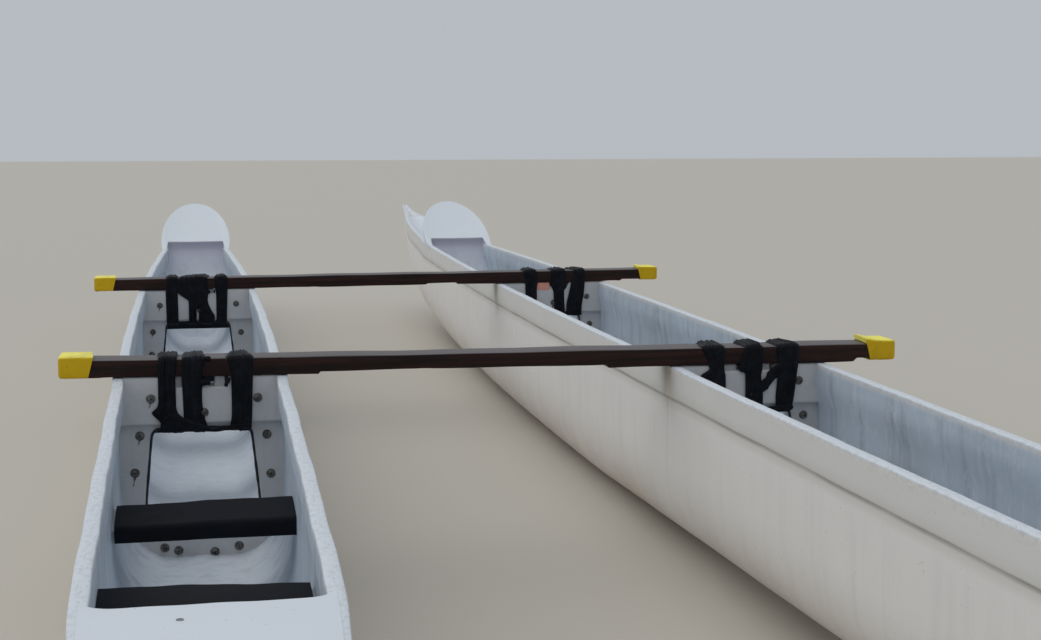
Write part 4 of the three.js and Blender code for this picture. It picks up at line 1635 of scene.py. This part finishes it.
def make_webbing():
    """Nearly black with clouds of painted sheen, and a fine weave under soft creases."""
    cloth = Finish(
        "wet_webbing", IOR=1.45, Specular_IOR_Level=0.16, Sheen_Weight=0.05, Sheen_Roughness=0.4,
    )
    weave = cloth.node(
        "ShaderNodeTexWave", {"Vector": cloth.scaled(1, 1, 1), "Scale": 260.0, "Distortion": 1.5},
        bands_direction="DIAGONAL",
    ).outputs["Fac"]
    cloud = cloth.noise(40, 3)
    base = cloth.mix(cloth.band(cloud, 0.4, 0.75, 0, 0.5), WEBBING_BLACK, WEBBING_SHEEN)
    cloth.colour(base)
    cloth.roughness(cloth.band(cloud, 0.3, 0.7, 0.5, 0.75))
    fine = cloth.bump(weave, 0.0003, 0.5)
    cloth.bump(cloth.noise(55, 3, 0.6, stretch=(1, 1, 0.3)), 0.0022, 0.7, under=fine)
    return cloth.done()


webbing = make_webbing()

# %% Strap outlines
OUTLINES = {
    # for each strap, from its foot up: height, left edge and right edge from the hull's middle
    "port_rear": (
        ((-0.152, -0.122, -0.048), (-0.124, -0.124, -0.048), (-0.107, -0.138, -0.060),
         (-0.092, -0.150, -0.072), (-0.074, -0.132, -0.076), (-0.055, -0.129, -0.076),
         (0.001, -0.129, -0.076), (0.040, -0.130, -0.073), (0.072, -0.127, -0.070)),
        ((-0.152, -0.050, 0.022), (-0.105, -0.054, 0.008), (-0.060, -0.055, 0.003),
         (0.001, -0.057, 0.006), (0.030, -0.056, 0.009), (0.072, -0.054, 0.019)),
        ((-0.152, 0.083, 0.150), (-0.100, 0.090, 0.153), (0.001, 0.091, 0.157),
         (0.050, 0.082, 0.160), (0.072, 0.073, 0.162)),
    ),
    "port_front": (
        ((-0.164, -0.149, -0.093), (0.000, -0.151, -0.092), (0.065, -0.151, -0.086)),
        ((-0.164, -0.043, -0.006), (-0.095, -0.043, -0.006), (-0.082, -0.043, 0.024),
         (-0.054, -0.044, 0.047), (-0.034, -0.070, 0.050), (-0.010, -0.094, 0.053),
         (0.065, -0.094, 0.053)),
        ((-0.164, 0.004, 0.075), (-0.136, 0.004, 0.081), (-0.095, 0.004, 0.062),
         (-0.082, -0.018, 0.056), (-0.050, -0.030, 0.048), (0.000, -0.040, 0.050),
         (0.065, -0.040, 0.050)),
        ((-0.164, 0.088, 0.137), (0.000, 0.087, 0.144), (0.065, 0.079, 0.147)),
    ),
    "starboard_rear": (
        ((-0.152, -0.148, -0.078), (-0.034, -0.168, -0.080), (0.000, -0.137, -0.085),
         (0.030, -0.142, -0.085), (0.065, -0.165, -0.084)),
        ((-0.152, -0.014, 0.047), (-0.105, -0.014, 0.047), (-0.031, -0.014, 0.040),
         (-0.022, -0.016, 0.042), (-0.014, -0.036, 0.043), (0.010, -0.032, 0.044),
         (0.065, -0.018, 0.046)),
        ((-0.152, 0.090, 0.146), (-0.105, 0.090, 0.154), (0.000, 0.098, 0.166),
         (0.065, 0.090, 0.172)),
    ),
    "starboard_front": (
        ((-0.164, -0.132, -0.074), (0.000, -0.136, -0.075), (0.060, -0.152, -0.073)),
        ((-0.164, 0.014, 0.070), (-0.045, 0.010, 0.066), (-0.024, 0.000, 0.070),
         (0.000, -0.008, 0.076), (0.060, -0.007, 0.076)),
        ((-0.164, 0.076, 0.156), (-0.120, 0.077, 0.158), (-0.060, 0.088, 0.168),
         (0.000, 0.100, 0.173), (0.060, 0.104, 0.174)),
    ),
}
print(sum(len(straps) for straps in OUTLINES.values()), "straps in all")

# %% A strap's loop
STRAP_HALF_DEPTH = 0.0604
STRAP_FOOT = {"rear": -0.150, "front": -0.162}
STRAP_SEAT = 0.0006
LOOP_CORNER = 0.009
BOW_SIDE_REACH = 0.148


def strap_loop(end, clearance, count=100):
    """A rounded rectangle round the beam and the bridge, as y, z points and their outward
    directions, starting under the bridge."""
    half = STRAP_HALF_DEPTH + clearance
    high = BEAM_TOP[end] + STRAP_SEAT + clearance
    low = STRAP_FOOT[end] - clearance
    radius = LOOP_CORNER + clearance
    corners = ((half, low, -0.5), (half, high, 0.0), (-half, high, 0.5), (-half, low, 1.0))
    points = []
    for y, z, start in corners:
        angle = np.pi * (start + np.linspace(0, 0.5, 7))
        middle = (y - math.copysign(radius, y), z - math.copysign(radius, z - (low + high) / 2))
        points.append(np.stack([
            middle[0] + radius * np.cos(angle), middle[1] + radius * np.sin(angle),
        ], -1))
    loop = np.concatenate(points)
    closed = np.concatenate([loop, loop[:1]])
    length = np.concatenate([[0], np.cumsum(np.linalg.norm(np.diff(closed, axis=0), axis=1))])
    even = np.linspace(0, length[-1], count, endpoint=False)
    even = np.sort(np.concatenate([even, length[:-1]]))
    loop = between_points(even, length, closed)
    return loop, outward_of(loop), even / length[-1]


def strap_edges(outline, loop):
    """A strap's two edges along its loop: its own outline on the stern side, and straight edges
    at the outline's mean places on the bow side."""
    rows = np.array(outline)
    drawn = through(rows[:, 0], rows[:, 1:], np.clip(loop[:, 1], rows[0, 0], rows[-1, 0]))
    plain = np.clip(rows[:, 1:].mean(axis=0), -BOW_SIDE_REACH, BOW_SIDE_REACH)
    return (plain + (drawn - plain) * smoothstep(0.05, -0.05, loop[:, :1])).T[..., None]


print("a loop round the rear beam has", len(strap_loop("rear", 0.0)[0]), "points")

# %% A turn of webbing
TURN_COLUMNS = 26
WEBBING_HALF = 0.0024
# how much less a turn wanders where its edge is the strap's own edge
EDGE_WANDER = 0.3


def add_turn(shape, place, outline, share, clearance, rng):
    """One turn of webbing, from one share of the strap's width to another. Across it, the outer
    side rises in a few creases whose places drift along the loop, over twice as high on top of
    the beam, and the inner side is flat. On top, all of it rises with the tilted beam."""
    side, end = place
    loop, outward, s = strap_loop(end, clearance)
    left, right = strap_edges(outline, loop)
    across = np.linspace(0, 1, TURN_COLUMNS)[None]
    s = s[:, None]
    on_top = smoothstep(-0.012, 0.004, loop[:, 1:] - BEAM_TOP[end])
    creases = np.zeros((len(s), TURN_COLUMNS))
    for _ in range(4):
        count = rng.uniform(1.4, 5.5)
        phase = rng.uniform(0, 1)
        drift = rng.integers(-1, 2)
        wave = 0.5 + 0.5 * np.sin(2 * np.pi * (count * across + phase + drift * s))
        creases += rng.uniform(0.0005, 0.0014) * wave**2
    first, last = share
    wander = 0.04 * np.sin(2 * np.pi * (s + rng.uniform(0, 1)))
    wander += 0.025 * np.sin(2 * np.pi * (3 * s + rng.uniform(0, 1)))
    first = first + (wander if first > 0 else EDGE_WANDER * np.maximum(wander, 0))
    last = last + (wander if last < 1 else EDGE_WANDER * np.minimum(wander, 0))
    start = left + (right - left) * first
    stop = left + (right - left) * last
    x = start + (stop - start) * across
    body = WEBBING_HALF * (1 - (2 * across - 1) ** 6)
    rise = body + creases * (1 - (2 * across - 1) ** 8) * (1 + 1.3 * on_top)
    y = loop[:, :1] + outward[:, :1] * rise
    z = loop[:, 1:] + outward[:, 1:] * rise
    back = np.linspace(1, 0, 4)[None, 1:-1]
    x = np.concatenate([x, start + (stop - start) * back], axis=1)
    y = np.concatenate([y, loop[:, :1] + 0 * back], axis=1)
    z = np.concatenate([z, loop[:, 1:] + 0 * back], axis=1)
    z = z + beam_lift(end, HULL_X[side] + x) * smoothstep(-0.03, 0.01, loop[:, 1:])
    shape.add_ring(np.stack([x, y, z], -1))


# %% Folds
FLAPS = {
    # a fold's path as x, height points, its width and its thickness
    "port_rear": (
        (((-0.010, -0.002), (0.012, -0.003), (0.030, -0.004)), 0.018, 0.010),
        (((0.088, 0.010), (0.080, 0.000), (0.0735, -0.018)), 0.015, 0.010),
        (((0.004, 0.068), (0.022, 0.071), (0.030, 0.064)), 0.016, 0.012),
    ),
    "port_front": (
        (((0.049, 0.000), (0.056, -0.005), (0.055, -0.018)), 0.011, 0.008),
        (((0.085, 0.006), (0.080, -0.004), (0.079, -0.016)), 0.008, 0.007),
    ),
    "starboard_rear": (
        (((0.108, 0.014), (0.070, -0.030), (0.034, -0.078)), 0.034, 0.010),
    ),
    "starboard_front": (
        (((0.062, 0.004), (0.074, -0.010), (0.066, -0.034)), 0.014, 0.010),
    ),
}
FLAP_STEPS = 44


def smoothed(values, reach):
    """The running mean of a list over its neighbours on both sides."""
    width = 2 * reach + 1
    return np.convolve(np.pad(values, reach, "edge"), np.ones(width) / width, "valid")


def add_flap(shape, path, width, thickness, rng):
    """A flat closed fold along a path of x, y, z points, with lumps, narrower at its ends."""
    path = np.asarray(path, float)
    steps = np.linspace(0, len(path) - 1, FLAP_STEPS)
    line = between_points(steps, np.arange(len(path)), path)
    line = np.stack([smoothed(column, 4) for column in line.T], -1)
    turn = full_turn(20)
    s = np.linspace(0, 1, FLAP_STEPS)[:, None]
    lumps = 1 + 0.16 * np.sin(2 * np.pi * (2 * s + rng.uniform(0, 1)) + 2 * turn)
    lumps = lumps + 0.07 * np.sin(2 * np.pi * (5 * s + rng.uniform(0, 1)) - 3 * turn)
    ahead = unit(np.gradient(line, axis=0))
    flat = unit(np.cross(ahead, (0, 1, 0)))
    out = np.cross(flat, ahead)
    grow = np.sqrt(np.clip(np.sin(np.pi * s), 0, 1)) * 0.7 + 0.3
    shape.add_rod(
        line[:, None]
        + flat[:, None] * (width / 2 * lumps * grow * np.cos(turn))[..., None]
        + out[:, None] * (thickness / 2 * lumps * np.sin(turn))[..., None]
    )


# %% Foot bands
FOOT_BANDS = {
    # the upper edge of the band that joins the straps' feet: x, height
    "port_rear": (
        (-0.124, -0.117), (-0.092, -0.093), (-0.074, -0.095), (-0.050, -0.111), (0.022, -0.139),
        (0.028, -0.147), (0.083, -0.137), (0.150, -0.131),
    ),
    "port_front": ((-0.149, -0.154), (0.050, -0.155), (0.137, -0.152)),
    "starboard_rear": ((-0.146, -0.134), (0.020, -0.142), (0.149, -0.130)),
    "starboard_front": ((-0.132, -0.154), (0.038, -0.150), (0.156, -0.154)),
}
BAND_STEPS = 64


def add_foot_band(shape, end, edge, rng):
    """The band over the straps' feet: at each x it reaches from just below the bridge up to its
    upper edge, and its section is a flat closed curve with a few lengthwise creases."""
    edge = np.array(edge)
    x = np.linspace(edge[0, 0], edge[-1, 0], BAND_STEPS)[:, None]
    upper = smoothed(np.interp(x[:, 0], edge[:, 0], edge[:, 1]), 2)[:, None]
    ripple = 0.0022 * np.sin(41 * x + rng.uniform(0, 6)) + 0.001 * np.sin(97 * x)
    lower = STRAP_FOOT[end] - 0.003 + ripple
    turn = full_turn(24)
    ends = np.clip(np.minimum(x - edge[0, 0], edge[-1, 0] - x) / 0.008, 0, 1) ** 0.5
    half = (upper - lower) / 2 * (0.35 + 0.65 * ends)
    middle = (upper + lower) / 2
    creases = 1 + 0.22 * np.sin(5 * turn + 30 * x) + 0.12 * np.sin(9 * turn - 44 * x)
    squared_off = np.sign(np.cos(turn)) * np.abs(np.cos(turn)) ** 0.5
    y = -STRAP_HALF_DEPTH - 0.0065 - 0.0055 * creases * squared_off * (0.4 + 0.6 * ends)
    shape.add_rod(np.stack([x + 0 * y, y, middle + half * np.sin(turn)], -1))


# %% Lumps on the beams
KNOTS = {
    # a lump of webbing on top of the beam: its two ends in x and its height
    "port_rear": ((-0.046, 0.014, 0.011), (0.078, 0.140, 0.013)),
    "port_front": ((-0.060, 0.036, 0.008),),
    "starboard_rear": ((-0.140, -0.082, 0.010), (-0.014, 0.040, 0.012)),
    "starboard_front": ((0.010, 0.066, 0.009),),
}


def add_knot(shape, place, x0, x1, height, rng):
    """A lump of folded webbing on top of the beam: half of a flat oval whose height falls off
    towards both ends, with creases that run over it."""
    side, end = place
    s = np.linspace(0, 1, 32)[:, None]
    turn = full_turn(28)
    swell = np.clip(np.sin(np.pi * s), 0.02, 1) ** 0.45
    creases = 1 + 0.16 * np.sin(2 * np.pi * (2.5 * s + rng.uniform(0, 1)) + turn)
    creases = creases + 0.09 * np.sin(2 * np.pi * (5 * s + rng.uniform(0, 1)) - 2 * turn)
    x = x0 + (x1 - x0) * s + 0.004 * np.sin(turn + 5 * s)
    y = STRAP_HALF_DEPTH * 0.86 * np.cos(turn) * (0.55 + 0.45 * swell)
    base = BEAM_TOP[end] + beam_lift(end, HULL_X[side] + x)
    z = base + np.where(np.sin(turn) > 0, height * creases, 0.002) * np.sin(turn) * swell
    shape.add_rod(np.stack([x + 0 * y, y, z], -1))


# %% Lashings
# the second and third turns: which layer, and from which share of the strap's width to which
UPPER_TURNS = ((1, 0.06, 0.66), (2, 0.38, 0.92))
LAYER_HEIGHT = 0.0022
FIRST_SEED = 11


def lashing(side, end, y, seed):
    """All the webbing of one hull and one beam as one piece."""
    rng = np.random.default_rng(seed)
    key = f"{side}_{end}"
    shape = Shape()
    for outline in OUTLINES[key]:
        add_turn(shape, (side, end), outline, (0.0, 1.0), 0.0, rng)
        for layer, first, last in UPPER_TURNS:
            shift = rng.uniform(-0.05, 0.05)
            share = (first + shift, last + shift)
            add_turn(shape, (side, end), outline, share, LAYER_HEIGHT * layer, rng)
    add_foot_band(shape, end, FOOT_BANDS[key], rng)
    for x0, x1, height in KNOTS[key]:
        add_knot(shape, (side, end), x0, x1, height, rng)
    front = -STRAP_HALF_DEPTH - 0.004
    lift = beam_lift(end, HULL_X[side])
    for path, width, thickness in FLAPS[key]:
        points = [(px, front - 0.002 * (i % 2), pz + lift) for i, (px, pz) in enumerate(path)]
        add_flap(shape, points, width, thickness, rng)
    name = f"lashing_{key}"
    place = np.array(hull_place(side)) + (0, y, 0)
    make_piece(f"{name}_straps", shape, webbing, [name], place, smooth_angle=60)


for number, (end, y) in enumerate(BEAM_PLACES.items()):
    for side in HULL_X:
        lashing(side, end, y, FIRST_SEED + number + (3 if side == "port" else 0))

# %% [markdown]
# ## The benches and their foam
#
# Each bench is a plank of glass fibre let into the hull's walls, with a sheet of black closed-cell
# foam folded over it. The foam could be draped as cloth, but it is stiff: its top is faintly
# crowned, its front and back folds are round, and its skirts hang straight. So it is modelled
# directly, and both are profiles carried across the hull.

# %% Bench and foam finishes
BENCH_WHITE = rgb(206, 212, 218)
FOAM_BLACK = rgb(20, 22, 27)
FOAM_WORN = rgb(34, 37, 44)


def make_bench_paint():
    """Bluish white with grey clouds."""
    paint = Finish("bench_paint", IOR=1.45)
    cloud = paint.noise(7, 4, 0.6)
    paint.colour(paint.mix(paint.band(cloud, 0.35, 0.75, 0, 0.35), BENCH_WHITE, STREAK_GREY))
    paint.roughness(paint.band(cloud, 0.3, 0.7, 0.45, 0.6))
    paint.bump(paint.noise(60, 3), 0.0008, 0.5)
    return paint.done()


def make_foam():
    """Black with worn clouds and rubbed streaks, and the fine pores of closed cells."""
    foam = Finish("closed_cell_foam", IOR=1.45, Specular_IOR_Level=0.12)
    cloud = foam.noise(6, 4, 0.6)
    rub = foam.noise(30, 3, 0.6, stretch=(0.3, 1, 1))
    base = foam.mix(foam.band(cloud, 0.35, 0.7, 0, 0.5), FOAM_BLACK, FOAM_WORN)
    base = foam.mix(foam.band(rub, 0.55, 0.75, 0, 0.3), base, FOAM_WORN)
    foam.colour(base)
    foam.roughness(foam.band(cloud, 0.3, 0.7, 0.7, 0.85))
    fine = foam.bump(foam.noise(420, 2), 0.0004, 0.6)
    foam.bump(foam.noise(18, 3), 0.0012, 0.4, under=fine)
    return foam.done()


bench_paint = make_bench_paint()
foam = make_foam()

# %% Pads
PAD_THICKNESS = 0.012
PAD_ROUND = 0.0145
PAD_CROWN = 0.0035
PAD_SETTLING = {
    # how far the foam has slid across, the rise of its port and starboard ends, and how much
    # shorter its skirts are
    "port_5": (0.005, 0.000, 0.008, 0.012),
    "port_6": (-0.006, 0.016, 0.005, 0.000),
}
SEATS = (1, 2, 3, 4, 5, 6)


def pad_side(half, depth, inset):
    """One side of the folded sheet, from the stern-side skirt over the crown to the other. A
    fold is a quarter of a circle, and the crown falls off with the square of y."""
    arc = np.linspace(0, np.pi / 2, 9)
    reach = half - inset
    radius = PAD_ROUND - inset
    skirt = np.linspace(-depth, -inset - radius, 7)[:-1]
    fold_y = -reach + radius * (1 - np.cos(arc))
    fold_z = -inset - radius + radius * np.sin(arc)
    flat_y = np.linspace(-reach + radius, 0, 14)[1:]
    side_y = np.concatenate([np.full(6, -reach), fold_y, flat_y])
    side_z = np.concatenate([skirt, fold_z, np.full(13, -inset)])
    y = np.concatenate([side_y, -side_y[-2::-1]])
    z = np.concatenate([side_z, side_z[-2::-1]])
    return np.stack([y, z - PAD_CROWN * (y / half) ** 2], -1)


def pad_profile(low, high, shorter):
    """The folded sheet from the side: over its outside, and back along the inside."""
    half = (high.y - low.y) / 2
    depth = high.z - low.z - shorter
    outside = pad_side(half, depth, 0.0)
    inside = pad_side(half, depth, PAD_THICKNESS)
    return np.concatenate([outside, inside[::-1]])


def across_hull(profile, middle_y, top, clear, steps=49):
    """A closed profile carried from wall to wall: x is a share of half the inside width."""
    share = np.linspace(-1, 1, steps)[:, None]
    y = middle_y + np.broadcast_to(profile[None, :, 0], (steps, len(profile)))
    z = top + np.broadcast_to(profile[None, :, 1], y.shape)
    return share, np.stack([share * (inside_half(y, z) - clear), y, z], -1)


def seat_pad(side, seat):
    """The foam of one seat: its top sags in slow waves and lies as its ends have settled."""
    node = f"pad_{side}_{seat}"
    low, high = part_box(node)
    middle_y = (low.y + high.y) / 2 - DATUM_Y
    top = high.z - GUNWALE_Z
    settling = PAD_SETTLING.get(f"{side}_{seat}", (0.0, 0.0, 0.0, 0.0))
    slid, port_rise, starboard_rise, shorter = settling
    share, points = across_hull(pad_profile(low, high, shorter), middle_y, top, 0.002)
    phase = seat * 1.3 + (0.7 if side == "port" else 0)
    sag = 0.0010 * np.sin(5.1 * share + phase) + 0.0005 * np.sin(13.7 * share + 2 * phase)
    sag = sag + port_rise * (1 - share) / 2 + starboard_rise * (1 + share) / 2
    upper = smoothstep(-0.06, 0.0, points[..., 2] - top)
    points[..., 2] += (sag - 0.0015 * np.abs(share) ** 12) * upper
    points[..., 1] += 0.0014 * np.sin(3.3 * share + phase) + 0.0007 * np.sin(9 * share + phase)
    points[..., 0] += slid
    shape = Shape()
    shape.add_rod(points)
    piece = make_piece(f"{node}_foam", shape, foam, [node], hull_place(side), 50)


for side in HULL_X:
    for seat in SEATS:
        seat_pad(side, seat)

# %% Benches
BENCH_THICKNESS = 0.038
BENCH_ROUND = 0.008


def seat_bench(side, seat):
    """One bench: a rounded rectangle that is let into the hull's walls."""
    node = f"bench_{side}_{seat}"
    low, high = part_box(node)
    middle_y = (low.y + high.y) / 2 - DATUM_Y
    half = (high.y - low.y) / 2
    top = high.z - GUNWALE_Z
    y, z = ring_of(-half, half, -BENCH_THICKNESS, 0, BENCH_ROUND, full_turn(32, np.pi / 32))
    shape = Shape()
    shape.add_rod(across_hull(np.stack([y, z], -1), middle_y, top, -LET_IN, 25)[1])
    make_piece(f"{node}_board", shape, bench_paint, [node], hull_place(side), 50)


for side in HULL_X:
    for seat in SEATS:
        seat_bench(side, seat)

# %% [markdown]
# ## Floor and light
#
# The photograph was taken under an even cloud, with no hard shadow anywhere. A picture of a sky
# could light the scene, but a bright world and one broad soft lamp overhead do the same from
# numbers alone. The craft stands on a plain pale floor.

# %% Floor
FLOOR_PALE = rgb(198, 192, 181)
FLOOR_SIZE = 160

floor_mesh = bpy.data.meshes.new("floor")
half_floor = FLOOR_SIZE / 2
floor_mesh.from_pydata(
    [(-half_floor, -half_floor, 0), (half_floor, -half_floor, 0),
     (half_floor, half_floor, 0), (-half_floor, half_floor, 0)],
    [], [(0, 1, 2, 3)],
)
floor = bpy.data.objects.new("floor", floor_mesh)
bpy.context.scene.collection.objects.link(floor)
floor_finish = Finish("floor_finish", Roughness=0.9)
floor_finish.shader.inputs["Base Color"].default_value = FLOOR_PALE
floor_mesh.materials.append(floor_finish.material)

# %% Light
SKY_COLOUR = (0.47, 0.50, 0.535, 1)
LAMP_COLOUR = (1.0, 0.98, 0.95)
LAMP_ENERGY = 0.95
LAMP_DEGREES = 90
TOWARDS_LIGHT = (-0.15, 0.05, 0.25)

world = bpy.data.worlds.new("overcast")
bpy.context.scene.world = world
world.use_nodes = True
sky = world.node_tree.nodes["Background"]
sky.inputs["Color"].default_value = SKY_COLOUR
sky.inputs["Strength"].default_value = 1.0

lamp_data = bpy.data.lights.new("overhead", "SUN")
lamp_data.energy = LAMP_ENERGY
lamp_data.angle = math.radians(LAMP_DEGREES)
lamp_data.color = LAMP_COLOUR
lamp = bpy.data.objects.new("overhead", lamp_data)
lamp.rotation_euler = Vector(TOWARDS_LIGHT).to_track_quat("Z", "Y").to_euler()
bpy.context.scene.collection.objects.link(lamp)
print("a lamp", LAMP_DEGREES, "degrees wide over a floor of", FLOOR_SIZE, "m")
